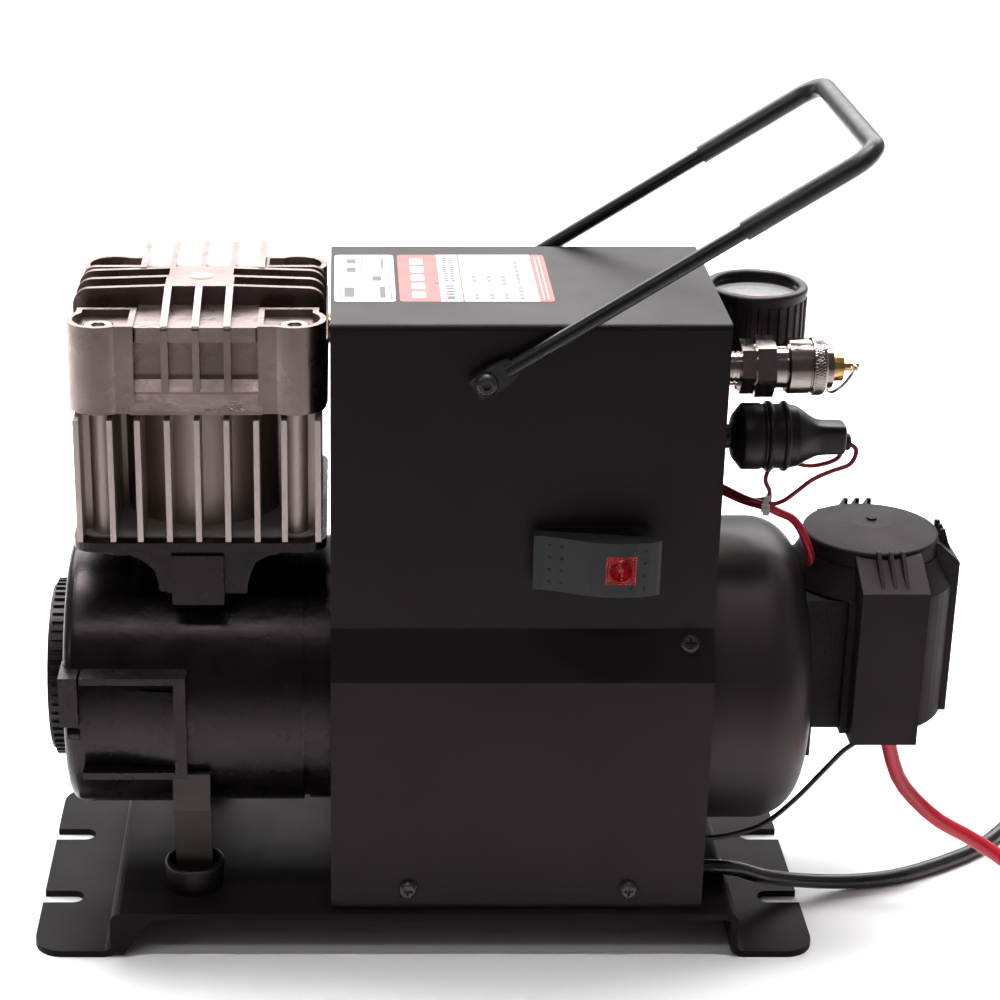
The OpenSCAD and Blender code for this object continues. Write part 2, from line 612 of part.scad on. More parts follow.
module can_profile(g = 0) xturn(concat([[can_x0, motor_r + g]],
    [for (q = arc(can_x1 - shoulder, motor_r - shoulder, shoulder + g, 90, 0, 20)) q],
    [[can_x1 + g, 0], [can_x0, 0]]));
module motor_can() color([0.14, 0.13, 0.14]) xturn(concat([[can_x0, motor_r]],
    [for (q = arc(can_x1 - shoulder, motor_r - shoulder, shoulder, 90, 0, 20)) q],
    [[can_x1, 0], [155.5, 0], [155.5, 16], [144.5, 16], [144.5, 19], [can_x1 - can_t, 19]],
    [for (q = arc(can_x1 - shoulder, motor_r - shoulder, shoulder - can_t, 0, 90, 20)) q],
    [[can_x0, motor_r - can_t]]));
module field_magnets() color([0.25, 0.25, 0.27]) difference() {
    xcyl(motor_r - can_t, 10, 118);
    xcyl(54.5, 5, 125);
    for (s = [-1, 1]) translate([0, 0, axis_z]) rotate([s * 90, 0, 0])
        translate([0, -22, 0]) cube([130, 44, 70]);
}
module shaft_bearings() color([0.6, 0.6, 0.62]) {
    difference() {
        xcyl(17.5, -41, -30);
        xcyl(shaft_r + run_gap, -45, -25);
    }
    difference() {
        xcyl(16, 144.5, 155.5);
        xcyl(shaft_r + run_gap, 140, 160);
    }
}
module rotor_shaft() color([0.65, 0.65, 0.67]) xcyl(shaft_r, -84, 155);
module armature() color([0.55, 0.35, 0.2]) difference() {
    union() {
        translate([20, 0, axis_z]) rotate([0, 90, 0]) linear_extrude(88) polygon(teeth(16, 47, 53, 0.7));
        xcyl(44, 6, 20);
        xcyl(44, 108, 122);
    }
    xcyl(shaft_r, 0, 130);
}
module commutator() color([0.72, 0.42, 0.25]) difference() {
    translate([124, 0, axis_z]) rotate([0, 90, 0]) linear_extrude(16) polygon(teeth(24, 21, 22, 0.8));
    xcyl(shaft_r, 120, 150);
}
// Insulating ring with four brush boxes, and the carbon brushes in them
module brush_gear() color([0.3, 0.22, 0.18]) {
    difference() {
        xcyl(61, 142, 144);
        xcyl(20, 140, 146);
    }
    for (a = [45:90:315]) translate([0, 0, axis_z]) rotate([a, 0, 0]) {
        span([127, -5, 22.3], [137, 5, 40]);
        difference() {
            span([125, -7, 26], [142, 7, 46]);
            span([127, -5, 20], [137, 5, 41]);
        }
    }
}

// ---- Relay on the motor end ----

column_out = 46;
module column_body(reach, half) {
    span([-half, 0, relay_z0], [half, reach, 156]);
    rotate([90, 0, 90]) translate([0, 0, -half]) linear_extrude(2 * half)
        polygon([[0, 150], [reach, 150], [reach, 156.3], [26, 165], [0, 165]]);
    for (k = [-1, 0, 1]) translate([k * 5 - 0.8, 0, 0]) rotate([90, 0, 90]) linear_extrude(1.6)
        polygon([[20, 150], [reach - 2, 150], [reach - 2, 157], [30, 168], [20, 168]]);
}
module relay_solid() {
    // Round body behind the columns
    linear_extrude(147) translate([relay_x, 0])
        polygon(concat(arc(0, 0, 35.5, -90, 90, 28), [[-14, 35.5], [-14, -35.5]]));
    translate([relay_x, 0, 0]) {
        translate([2.3, 0, 0]) rotate([0, 0, 180]) column_body(column_out, 13.7);
        column_body(column_out, 13.7);
        rotate([0, 0, -90]) column_body(35.5, 13.7);
        translate([0, 0, 147]) cylinder(r1 = 35.3, r2 = 29, h = 12);
        translate([0, 0, 150]) cylinder(r = 28.4, h = 9);
    }
    // Saddle on the motor end, and its leg
    span([150, -30, relay_z0], [178, 30, 146]);
    span([can_x1, -30, 74], [can_x1 + 4.5, 30, 100]);
}
module relay_housing() color([0.17, 0.16, 0.17]) difference() {
    intersection() {
        relay_solid();
        union() {
            translate([0, 0, relay_z0]) linear_extrude(90) translate([relay_x - 45, -60]) square([90, 120]);
            span([can_x1, -30, 70], [can_x1 + 4.5, 30, 100]);
        }
    }
    can_profile();
    translate([relay_x, 0, 92]) cylinder(r = 20.05, h = 67.01);
    translate([195, -30, 80]) cylinder(r = 4.2, h = 14);
    translate([183, -34, 80]) cylinder(r = 1.8, h = 14);
    translate([0, 0, 159]) linear_extrude(40) translate([relay_x, 0]) circle(r = 28.6);
}
module relay_cap() color([0.18, 0.17, 0.18]) translate([relay_x, 0, 159]) rotate_extrude()
    polygon(concat([[0, 0], [28.3, 0]], arc(26.8, 6, 1.5, 0, 80, 4),
        [[9, 11.2], [2.2, 11.6], [2.2, 12.4], [0, 12.6]]));
module relay_coil() color([0.6, 0.35, 0.2]) translate([relay_x, 0, 0]) {
    difference() {
        translate([0, 0, 92]) cylinder(r = 20, h = 44);
        translate([0, 0, 93]) cylinder(r = 6.2, h = 50);
    }
    for (s = [-1, 1]) translate([0, s * 12, 135]) cylinder(r = 4, h = 13);
}
module relay_plunger() color([0.65, 0.65, 0.66]) translate([relay_x, 0, 0]) {
    translate([0, 0, 100]) cylinder(r = 6, h = 52);
    translate([0, 0, 151.5]) linear_extrude(2.5) square([10, 36], center = true);
}

// ---- Air fittings ----

module discharge_pipe() color([0.7, 0.6, 0.4]) difference() {
    union() {
        xcyl(6.2, -50, 92, 20, 248);
        xhex(9.5, 84, 91.5, 20, 248);
    }
    xcyl(4, -51, 93, 20, 248);
}
module manifold_block() color([0.6, 0.58, 0.5]) difference() {
    span([92, -27, 203], [112, 33, 258]);
    xcyl(4, 91, 102, 20, 248);
    span([98, -20, 209], [106, 26, 252]);
    for (p = [[port_y, coupler_z], [port_y, psw_z], [gauge[1], gauge_port_z]]) xcyl(3.5, 104, 113, p[0], p[1]);
}
module coupler_body() color([0.75, 0.73, 0.71]) difference() {
    union() {
        xcyl(6.3, 112, 145, port_y, coupler_z);
        for (x = [118.5:2:124.5]) xcyl(6.8, x, x + 1, port_y, coupler_z);
        xhex(11.3, 126, 131.6, port_y, coupler_z);
        xhex(12.6, 132, 139.6, port_y, coupler_z);
        xcyl(10, 131, 133, port_y, coupler_z);
        xcyl(9, 139, 163, port_y, coupler_z);
    }
    xcyl(3.5, 111, 150, port_y, coupler_z);
    xcyl(6.2, 150, 164, port_y, coupler_z);
}
module coupler_sleeve() color([0.78, 0.76, 0.74]) xturn([
    [144.5, 9 + run_gap], [144.5, 10.4], [145.5, 11.3], [153.5, 11.3], [153.9, 10.9], [154.3, 10.9],
    [154.7, 11.6], [159.5, 11.6], [160.1, 11], [160.1, 9 + run_gap]], port_y, coupler_z);
module relief_plug() color([0.72, 0.55, 0.3]) difference() {
    xcyl(6.2, 151, 167.5, port_y, coupler_z);
    xcyl(2 + run_gap, 155, 170, port_y, coupler_z);
    xcyl(4, 150, 156, port_y, coupler_z);
}
module relief_stem() color([0.75, 0.58, 0.32]) difference() {
    union() {
        xcyl(2, 156.2, 174.2, port_y, coupler_z);
        xcyl(3.8, 151.5, 153.2, port_y, coupler_z);
        xcyl(2, 153, 157, port_y, coupler_z);
    }
    ycyl(1.3, port_y - 5, port_y + 5, stem_x, coupler_z);
}
ring_lean = 42;
ring_r = 7.2;
module pull_ring() color([0.7, 0.68, 0.66]) translate([stem_x, port_y, coupler_z])
    rotate([0, ring_lean, 0]) translate([0, 0, -ring_r]) rotate([0, 90, 0])
        rotate_extrude() translate([ring_r, 0]) circle(r = 0.9, $fn = 24);

module gauge_fitting() color([0.7, 0.55, 0.3]) {
    difference() {
        union() {
            xcyl(5, 112, gauge[0], gauge[1], gauge_port_z);
            translate([gauge[0], gauge[1], gauge_port_z - 6]) cylinder(r = 6.5, h = 12);
            translate([gauge[0], gauge[1], gauge_port_z + 5]) cylinder(r = 5, h = 3);
        }
        xcyl(2.5, 111, gauge[0], gauge[1], gauge_port_z);
        translate([gauge[0], gauge[1], gauge_port_z]) cylinder(r = 2.5, h = 10);
    }
}
module gauge_case() color([0.2, 0.2, 0.21]) translate([gauge[0], gauge[1], 0]) {
    difference() {
        translate([0, 0, 236]) cylinder(r = 19.4, h = 30);
        translate([0, 0, 239]) cylinder(r = 18, h = 30);
        translate([0, 0, 235]) cylinder(r = 2.5, h = 10);
    }
    // Dial plate on its pillars
    difference() {
        translate([0, 0, 258]) cylinder(r = 18, h = 1);
        translate([0, 0, 257]) cylinder(r = 1.3, h = 3);
    }
    for (a = [0:120:240]) rotate([0, 0, a]) translate([12, 0, 239]) cylinder(r = 1.5, h = 19);
}
module gauge_boot() color([0.1, 0.1, 0.1]) translate([gauge[0], gauge[1], 0]) difference() {
    union() {
        translate([0, 0, 233]) linear_extrude(30) polygon(teeth(30, 20.6, 21.3, 0.35));
        translate([0, 0, 263]) cylinder(r = 20.8, h = 2);
        translate([0, 0, 265]) rotate_extrude() polygon(concat([[17.4, 0], [21.3, 0]],
            arc(19.8, 1.5, 1.5, 0, 90, 4), arc(18.8, 1.6, 1.4, 90, 180, 4)));
    }
    translate([0, 0, 236]) cylinder(r = 19.4, h = 30);
    translate([0, 0, 232]) cylinder(r = 5, h = 40);
    translate([0, 0, 232]) cylinder(r = 12, h = 5);
    translate([0, 0, 262]) cylinder(r = 17.5, h = 20);
}
needle_zero = 225;
module gauge_needle() color([0.75, 0.1, 0.1]) translate([gauge[0], gauge[1], 0]) {
    translate([0, 0, 256]) cylinder(r = 1.2, h = 5);
    translate([0, 0, 260]) cylinder(r = 2.4, h = 0.9);
    rotate([0, 0, needle_zero]) translate([0, 0, 260]) linear_extrude(0.6)
        polygon([[-5, -0.9], [14.5, -0.2], [14.5, 0.2], [-5, 0.9]]);
}
module gauge_lens() color([0.8, 0.85, 0.9, 0.4])
    translate([gauge[0], gauge[1], 263.6]) cylinder(r = 18, h = 1.6);

// Threaded stem, crimped case, moulded boot with two beads, square back and wire sleeve
module pressure_switch() color([0.12, 0.12, 0.12]) {
    xcyl(5, 112, 125, port_y, psw_z);
    xturn([[125, 0], [125, 9], [128.6, 13.7], [136.5, 13.7], [137, 13], [137, 0]], port_y, psw_z);
    xturn([[137, 0], [137, 13.4], [138.2, 13.4], [139.5, 14.4], [140.8, 13.4], [144.8, 13.4], [146, 14.4],
        [147.2, 13.2], [151, 12.6], [158, 9], [160, 8], [160, 0]], port_y, psw_z);
    difference() {
        span([158, port_y - 6, psw_z - 6.3], [171, port_y + 6, psw_z + 6.3]);
        xturn([[157, 0], [157, 8], [160, 8], [160, 0]], port_y, psw_z);
    }
    xcyl(3.4, 171, 173.6, port_y, psw_z - 2.5);
}
// Routes of the wires that the housing holds at both ends
wire_a = [
    [171, -15, 211], [176, -16, 208], [174, -17, 202], [166, -18, 199], [159, -18, 195.5],
    [152, -17, 189], [148, -13, 183.8], [143, -11.5, 182], [134, -10, 184], [126, 0, 185], [118, 8, 186],
    [108, 9, 189]];
wire_b = [
    [171, -14, 208], [169, -12, 202], [160, -9, 198], [150, -8, 199], [143, -9, 197], [141, -10, 192],
    [143, -10, 187], [142, -8, 183], [134, -4, 181], [126, 5, 182], [118, 11, 184], [108, 11.5, 186.5]];
feed_wire = [
    [108, 15, 184], [118, 14, 183], [126, 9, 180], [135, 1, 178.4], [142, -9, 179.8], [148, -9, 177],
    [153, -10, 174.9], [156.5, -12, 171.1], [159.2, -13, 165.4], [161.5, -13, 159.5], [162.5, -13, 152]];
ground_wire = [
    [183, -34, 93], [183, -34, 84], [177, -34, 78], [169, -34, 68], [158, -36, 56], [146, -38, 46],
    [134, -40, 42], [122, -42, 41], [112, -44, 42], [100, -46, 44]];
module signal_wires() {
    color([0.6, 0.05, 0.08]) tube(smooth(wire_a, 3), 0.95);
    color([0.5, 0.05, 0.08]) tube(smooth(wire_b, 3), 0.95);
    color([0.75, 0.05, 0.1]) tube(smooth(feed_wire, 2), 1.8);
    color([0.08, 0.08, 0.08]) tube(smooth(ground_wire, 2), 1.1);
}
module cable_tie() color([0.85, 0.84, 0.82]) translate([142.5, -9.8, 181]) rotate([0, 0, -20]) difference() {
    span([-1.2, -4.6, -4.8], [1.2, 4.6, 4.8]);
    span([-2, -3.6, -3.8], [2, 3.6, 3.8]);
}

// ---- Supply leads ----

lead_r = lead_d / 2;
red_route = [
    [195, -30, 94], [195.5, -29.5, 86], [198.5, -27, 76.5], [203.5, -25, 62], [212, -24, 50],
    [224, -24, 39], [236, -24, 32], [249, -26, 24], [262, -32, 15.5], [275, -42, 8.5], [287, -56, 4.5],
    [296, -70, 3.3], [306, -81, 3.3], [320, -88.5, 3.3], [334, -90.5, 3.3], [345, -89.5, 3.3]];
black_route = [
    [92, -34, 24.4], [104, -36.5, 24.4], [116, -38, 24.4], [126, -38, 24.4], [136, -35, 21.6],
    [146, -30, 15.5], [157, -25, 10.8], [169, -21, 7.4], [182, -17.5, 4.8], [195, -14.5, 3.5],
    [209, -11, 3.3], [223, -5, 3.3], [238, 3.5, 3.3], [253, 14, 3.3], [268, 30, 3.3], [282, 50, 3.3],
    [294, 68, 3.3], [308, 82, 3.3], [325, 89.5, 3.3], [345, 91.5, 3.3]];
// Tails from the top of a coil down to the terminal
function tail(c, s) = [[c[0], c[1] + s * 43.5, 9.8], [c[0] + 14, c[1] + s * 44, 9],
    [c[0] + 26, c[1] + s * 43, 6.5], [c[0] + 38, c[1] + s * 41, 4], [c[0] + 50, c[1] + s * 37, 3.3],
    [c[0] + 60, c[1] + s * 31, 3.3], [c[0] + 66, c[1] + s * 22, 3.3]];
module red_lead() color([0.75, 0.04, 0.09]) {
    tube(smooth(red_route, 2), lead_r, 10);
    tube(smooth(tail(coil_red, -1), 2), lead_r, 10);
}
module black_lead() color([0.06, 0.06, 0.06]) {
    tube(smooth(black_route, 2), lead_r, 10);
    tube(smooth(tail(coil_black, 1), 2), lead_r, 10);
}
module lead_coil(c) translate([c[0], c[1], 0]) rotate_extrude()
    polygon(round_rect_at(coil_mid, 6.6, 3 * lead_d, 2 * lead_d, 3));
function round_rect_at(x, y, w, h, r) = [for (q = round_rect(w, h, r)) [q[0] + x, q[1] + y]];
module red_coil() color([0.75, 0.04, 0.09]) lead_coil(coil_red);
module black_coil() color([0.06, 0.06, 0.06]) lead_coil(coil_black);
// Ring terminal with its crimped barrel
module terminal(c, s) translate([c[0] + 66, c[1] + s * 22, 0]) rotate([0, 0, -s * 58]) {
    translate([0, 0, 3.3]) rotate([0, 90, 0]) difference() {
        cylinder(r = 4.4, h = 16);
        translate([0, 0, -1]) cylinder(r = lead_r + 0.05, h = 10);
        translate([3.3, -6, -1]) cube([6, 12, 20]);
    }
    difference() {
        union() {
            span([15, -5, 0], [22, 5, 1.8]);
            translate([27, 0, 0]) cylinder(r = 8, h = 1.8);
        }
        translate([27, 0, -1]) cylinder(r = 4.2, h = 5);
    }
}
module red_terminal() color([0.72, 0.6, 0.45]) terminal(coil_red, -1);
module black_terminal() color([0.72, 0.6, 0.45]) terminal(coil_black, 1);

base_plate();
motor_cradle();
housing_cover();
end_panels();
cover_screws();
support_straps();
support_cups();
pivot_hardware();
handle_bail();
handle_grip();
switch_body();
switch_paddle();
switch_lens();
crankcase();
crankcase_cover();
intake_cap();
intake_filter();
motor_adapter();
gaskets();
finned_cylinder();
valve_plate();
discharge_reed();
cylinder_head();
head_bolts();
piston_rod();
cup_seal();
crank_bearing();
crank_disc();
motor_can();
field_magnets();
shaft_bearings();
rotor_shaft();
armature();
commutator();
brush_gear();
relay_housing();
relay_cap();
relay_coil();
relay_plunger();
discharge_pipe();
manifold_block();
coupler_body();
coupler_sleeve();
relief_plug();
relief_stem();
pull_ring();
gauge_fitting();
gauge_case();
gauge_boot();
gauge_needle();
gauge_lens();
pressure_switch();
signal_wires();
cable_tie();
red_lead();
black_lead();
red_coil();
black_coil();
red_terminal();
black_terminal();
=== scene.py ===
"""Looks of a portable 12 V piston air compressor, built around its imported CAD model."""

import math

import bmesh
import bpy
from mathutils import Matrix, Vector


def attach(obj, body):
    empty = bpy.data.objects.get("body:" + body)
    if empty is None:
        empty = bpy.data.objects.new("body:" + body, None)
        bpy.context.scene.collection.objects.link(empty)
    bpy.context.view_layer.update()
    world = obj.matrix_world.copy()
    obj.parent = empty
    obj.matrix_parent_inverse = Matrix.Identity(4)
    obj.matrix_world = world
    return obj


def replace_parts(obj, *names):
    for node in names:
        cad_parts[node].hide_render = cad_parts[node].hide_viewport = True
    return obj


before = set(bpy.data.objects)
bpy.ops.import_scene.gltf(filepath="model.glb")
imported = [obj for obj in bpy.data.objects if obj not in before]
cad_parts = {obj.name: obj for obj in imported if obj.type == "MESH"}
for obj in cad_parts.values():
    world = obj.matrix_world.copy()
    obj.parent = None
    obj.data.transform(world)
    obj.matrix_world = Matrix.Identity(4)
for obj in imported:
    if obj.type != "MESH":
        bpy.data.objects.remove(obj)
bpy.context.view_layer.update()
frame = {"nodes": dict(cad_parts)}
scene = bpy.context.scene
MM = 0.001


def mm(*values):
    return Vector(values) * MM


# ---- Camera ----

LENS, SENSOR_WIDTH = 87.0, 36.0
CAMERA_AT = (-34.4, -940.4, 560.9)
CAMERA_SHIFT = 0.158
DOWN_TILT = 22.1

camera_data = bpy.data.cameras.new("camera")
camera_data.lens = LENS
camera_data.sensor_width = SENSOR_WIDTH
camera_data.shift_x = CAMERA_SHIFT
camera_data.clip_end = 20.0
camera = bpy.data.objects.new("camera", camera_data)
camera.location = mm(*CAMERA_AT)
camera.rotation_euler = (math.radians(90 - DOWN_TILT), 0, 0)
scene.collection.objects.link(camera)
scene.camera = camera


# ---- Mesh and curve helpers ----


def place(name, data, body):
    """An object that rides on a body."""
    piece = bpy.data.objects.new(name, data)
    scene.collection.objects.link(piece)
    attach(piece, body)
    return piece


def add(name, bm, paint, body, smooth=None):
    """A piece from a bmesh. smooth is the angle in degrees below which edges are smooth."""
    data = bpy.data.meshes.new(name)
    bmesh.ops.recalc_face_normals(bm, faces=bm.faces)
    bm.to_mesh(data)
    bm.free()
    data.materials.append(paint)
    if smooth is not None:
        shade(data, smooth)
    return place(name, data, body)


def shade(data, angle):
    """Smooth shading, with edges sharper than the angle in degrees kept sharp."""
    for polygon in data.polygons:
        polygon.use_smooth = True
    data.set_sharp_from_angle(angle=math.radians(angle))


def bevel(piece, width):
    """Rounded edges of a width in metres, where faces meet at more than 40 degrees."""
    modifier = piece.modifiers.new("round_edges", "BEVEL")
    modifier.width = width
    modifier.segments = 2
    modifier.limit_method = "ANGLE"
    modifier.angle_limit = math.radians(40)
    modifier.use_clamp_overlap = True
    modifier.harden_normals = True


def wire(name, points, radius, paint, body):
    """A round wire or cable through points in metres."""
    data = bpy.data.curves.new(name, "CURVE")
    data.dimensions = "3D"
    data.bevel_depth = radius
    data.bevel_resolution = 5
    data.use_fill_caps = True
    spline = data.splines.new("POLY")
    spline.points.add(len(points) - 1)
    for target, point in zip(spline.points, points):
        target.co = (*point, 1)
    data.materials.append(paint)
    return place(name, data, body)


def smooth_path(points, steps):
    """A Catmull-Rom curve through points in millimetres, as points in metres."""
    out = []
    last = len(points) - 1
    for i in range(last):
        a, b, c, d = (Vector(points[j]) for j in (max(i - 1, 0), i, i + 1, min(i + 2, last)))
        square, cube = 2 * a - 5 * b + 4 * c - d, 3 * b - a - 3 * c + d
        for k in range(steps):
            s = k / steps
            out.append(0.5 * MM * (2 * b + (c - a) * s + square * s**2 + cube * s**3))
    out.append(Vector(points[last]) * MM)
    return out


def path_length(points):
    return sum((b - a).length for a, b in zip(points, points[1:]))


def lathe(profile, steps, origin, axis="Z", turn=0.0):
    """A bmesh turned from (radius, height) pairs in millimetres about an axis through origin."""
    bm = bmesh.new()
    rings = []
    for radius, height in profile:
        if radius < 1e-6:
            rings.append([bm.verts.new((0, 0, height * MM))])
            continue
        ring = []
        for k in range(steps):
            angle = turn + 2 * math.pi * k / steps
            ring.append(bm.verts.new((radius * MM * math.cos(angle), radius * MM * math.sin(angle), height * MM)))
        rings.append(ring)
    for low, high in zip(rings, rings[1:]):
        for k in range(steps):
            after = k + 1
            corners = [low[k % len(low)], low[after % len(low)], high[after % len(high)], high[k % len(high)]]
            # A ring of one point makes triangles
            unique = list(dict.fromkeys(corners))
            if len(unique) > 2:
                bm.faces.new(unique)
    for ring in (rings[0], rings[-1]):
        if len(ring) > 1:
            bm.faces.new(ring)
    if axis == "X":
        bm.transform(Matrix.Rotation(math.pi / 2, 4, "Y"))
    elif axis == "-Y":
        bm.transform(Matrix.Rotation(math.pi / 2, 4, "X"))
    bm.transform(Matrix.Translation(Vector(origin) * MM))
    return bm


def box_mesh(low, high):
    """A bmesh box between two corners in millimetres."""
    bm = bmesh.new()
    bmesh.ops.create_cube(bm, size=1.0)
    low, high = Vector(low) * MM, Vector(high) * MM
    bm.transform(Matrix.Translation((low + high) / 2) @ Matrix.Diagonal((*(high - low), 1)))
    return bm


def join(parts):
    """Several bmeshes as one."""
    whole = bmesh.new()
    for part in parts:
        data = bpy.data.meshes.new("part")
        part.to_mesh(data)
        part.free()
        whole.from_mesh(data)
        bpy.data.meshes.remove(data)
    return whole


# ---- Materials ----


def material(
    name,
    color,
    rough,
    metal=0.0,
    grain=None,
    second=None,
    cloud=None,
    rough_spread=0.0,
    specular=None,
    stretch=(1, 1, 1),
    sheen=0.0,
    tint=(1, 1, 1),
):
    """A procedural material.

    grain is (scale, strength, distance) of the bump, second a finer or coarser one of the same form.
    cloud is (scale, other colour, share) of the colour variation.
    stretch scales the texture space, which makes brushed lines. tint colours the reflection of a dielectric.
    """
    made = bpy.data.materials.new(name)
    made.use_nodes = True
    tree = made.node_tree
    nodes, links = tree.nodes, tree.links
    shader = nodes["Principled BSDF"]
    shader.inputs["Base Color"].default_value = (*color, 1)
    shader.inputs["Roughness"].default_value = rough
    shader.inputs["Metallic"].default_value = metal
    shader.inputs["Sheen Weight"].default_value = sheen
    shader.inputs["Specular Tint"].default_value = (*tint, 1)
    if specular is not None:
        shader.inputs["Specular IOR Level"].default_value = specular
    coordinates = nodes.new("ShaderNodeTexCoord")
    mapping = nodes.new("ShaderNodeMapping")
    mapping.inputs["Scale"].default_value = stretch
    links.new(coordinates.outputs["Object"], mapping.inputs["Vector"])

    def noise(scale, detail=3.0):
        texture = nodes.new("ShaderNodeTexNoise")
        texture.inputs["Scale"].default_value = scale
        texture.inputs["Detail"].default_value = detail
        links.new(mapping.outputs["Vector"], texture.inputs["Vector"])
        return texture.outputs["Fac"]

    def spread(source, low, high, to_low, to_high):
        span = nodes.new("ShaderNodeMapRange")
        for key, value in (("From Min", low), ("From Max", high), ("To Min", to_low), ("To Max", to_high)):
            span.inputs[key].default_value = value
        links.new(source, span.inputs["Value"])
        return span.outputs["Result"]

    if cloud:
        scale, other, share = cloud
        blend = nodes.new("ShaderNodeMix")
        blend.data_type = "RGBA"
        links.new(spread(noise(scale, 5.0), 0.35, 0.7, 0.0, share), blend.inputs["Factor"])
        blend.inputs["A"].default_value = (*color, 1)
        blend.inputs["B"].default_value = (*other, 1)
        links.new(blend.outputs["Result"], shader.inputs["Base Color"])
    if rough_spread:
        patches = spread(noise(cloud[0] * 1.7, 4.0), 0.3, 0.7, rough - rough_spread, rough + rough_spread)
        links.new(patches, shader.inputs["Roughness"])
    normal = None
    for entry in (grain, second):
        if entry:
            scale, strength, distance = entry
            bump = nodes.new("ShaderNodeBump")
            bump.inputs["Strength"].default_value = strength
            bump.inputs["Distance"].default_value = distance
            links.new(noise(scale), bump.inputs["Height"])
            if normal:
                links.new(normal, bump.inputs["Normal"])
            normal = bump.outputs["Normal"]
    if normal:
        links.new(normal, shader.inputs["Normal"])
    return made


# Warm tint of the gloss on dark paint, plastic and rubber
WARM = (1.0, 0.82, 0.86)
POWDER = material(
    "satin_black_powder_coat", (0.0056, 0.0041, 0.0045), 0.40, grain=(1600, 0.35, 0.00012),
    cloud=(14, (0.0085, 0.0064, 0.0069), 0.8), rough_spread=0.05, specular=0.2, tint=WARM,
)
CASTING = material(
    "black_painted_casting", (0.0036, 0.0027, 0.0029), 0.27, grain=(420, 0.3, 0.0003), second=(1700, 0.25, 0.0001),
    cloud=(40, (0.0075, 0.0058, 0.0061), 0.8), rough_spread=0.07, specular=0.30, tint=WARM,
)
CAN_PAINT = material(
    "black_motor_paint", (0.013, 0.0103, 0.0110), 0.42, grain=(1300, 0.25, 0.0001),
    cloud=(18, (0.019, 0.0152, 0.016), 0.7), rough_spread=0.05, specular=0.3, tint=WARM,
)
BASE_PAINT = material(
    "base_powder_coat", (0.0066, 0.0050, 0.0054), 0.46, grain=(1500, 0.4, 0.00012),
    cloud=(16, (0.011, 0.0095, 0.010), 0.8), rough_spread=0.06, specular=0.07,
    tint=WARM,
)
STRAP_PAINT = material(
    "strap_paint", (0.026, 0.0205, 0.0205), 0.45, grain=(900, 0.4, 0.00015),
    cloud=(60, (0.042, 0.034, 0.033), 0.8), rough_spread=0.08, specular=0.35, tint=WARM,
)
TEXTURED = material(
    "textured_grey_plastic", (0.0105, 0.0082, 0.0090), 0.58, grain=(1100, 0.7, 0.00025),
    cloud=(26, (0.015, 0.012, 0.013), 0.7), rough_spread=0.05, specular=0.17, tint=WARM,
)
BLACK_PLASTIC = material(
    "moulded_black_plastic", (0.0062, 0.0052, 0.0055), 0.38, grain=(900, 0.25, 0.0001),
    cloud=(30, (0.010, 0.0085, 0.009), 0.6), rough_spread=0.05, specular=0.32, tint=WARM,
)
ROCKER_PLASTIC = material(
    "rocker_grey_plastic", (0.017, 0.0165, 0.0175), 0.46, grain=(1900, 0.5, 0.00012),
    cloud=(60, (0.023, 0.0225, 0.0235), 0.6), rough_spread=0.05, specular=0.35,
)
LENS_PLASTIC = material(
    "red_lens_plastic", (0.50, 0.003, 0.008), 0.16, grain=(700, 0.5, 0.0002),
    cloud=(420, (0.10, 0.001, 0.003), 1.0), rough_spread=0.08, specular=0.5,
)
RUBBER = material(
    "black_rubber", (0.0075, 0.0063, 0.0067), 0.42, grain=(700, 0.3, 0.0001),
    cloud=(90, (0.013, 0.011, 0.0115), 0.7), rough_spread=0.08, specular=0.4, tint=WARM,
)
GRIP = material(
    "grip_rubber", (0.012, 0.0105, 0.011), 0.36, grain=(500, 0.2, 0.00008),
    cloud=(70, (0.013, 0.0125, 0.013), 0.6), rough_spread=0.08,
)
ROD_PAINT = material(
    "handle_rod_paint", (0.006, 0.0055, 0.0058), 0.30, grain=(1500, 0.25, 0.00008),
    cloud=(50, (0.010, 0.0095, 0.0098), 0.6), rough_spread=0.05, specular=0.4,
)
CAST_ALUMINIUM = material(
    "cast_aluminium", (0.290, 0.225, 0.209), 0.32, metal=1.0, grain=(260, 0.35, 0.0004), second=(1400, 0.4, 0.00012),
    cloud=(45, (0.185, 0.140, 0.129), 0.7), rough_spread=0.1,
)
EXTRUDED_ALUMINIUM = material(
    "extruded_aluminium", (0.56, 0.475, 0.447), 0.48, metal=1.0, grain=(900, 0.25, 0.0001),
    cloud=(60, (0.44, 0.367, 0.344), 0.5), rough_spread=0.08, stretch=(1, 1, 0.05),
)
STEEL = material(
    "zinc_steel", (0.50, 0.48, 0.46), 0.3, metal=1.0, grain=(1300, 0.2, 0.00005),
    cloud=(120, (0.36, 0.34, 0.32), 0.5), rough_spread=0.08,
)
DARK_STEEL = material(
    "blackened_steel", (0.035, 0.032, 0.032), 0.30, metal=0.6, grain=(1300, 0.25, 0.00006),
    cloud=(150, (0.06, 0.055, 0.053), 0.6), rough_spread=0.1,
)
NICKEL = material(
    "nickel_plate", (0.36, 0.310, 0.297), 0.17, metal=1.0, grain=(1800, 0.12, 0.00003),
    cloud=(140, (0.29, 0.245, 0.23), 0.6), rough_spread=0.06,
)
BRASS = material(
    "brass", (0.72, 0.47, 0.20), 0.24, metal=1.0, grain=(1500, 0.15, 0.00004),
    cloud=(120, (0.54, 0.32, 0.12), 0.6), rough_spread=0.08,
)
COPPER = material(
    "winding_copper", (0.70, 0.34, 0.18), 0.35, metal=1.0, grain=(1200, 0.6, 0.0003),
    cloud=(90, (0.5, 0.22, 0.1), 0.6), rough_spread=0.08,
)
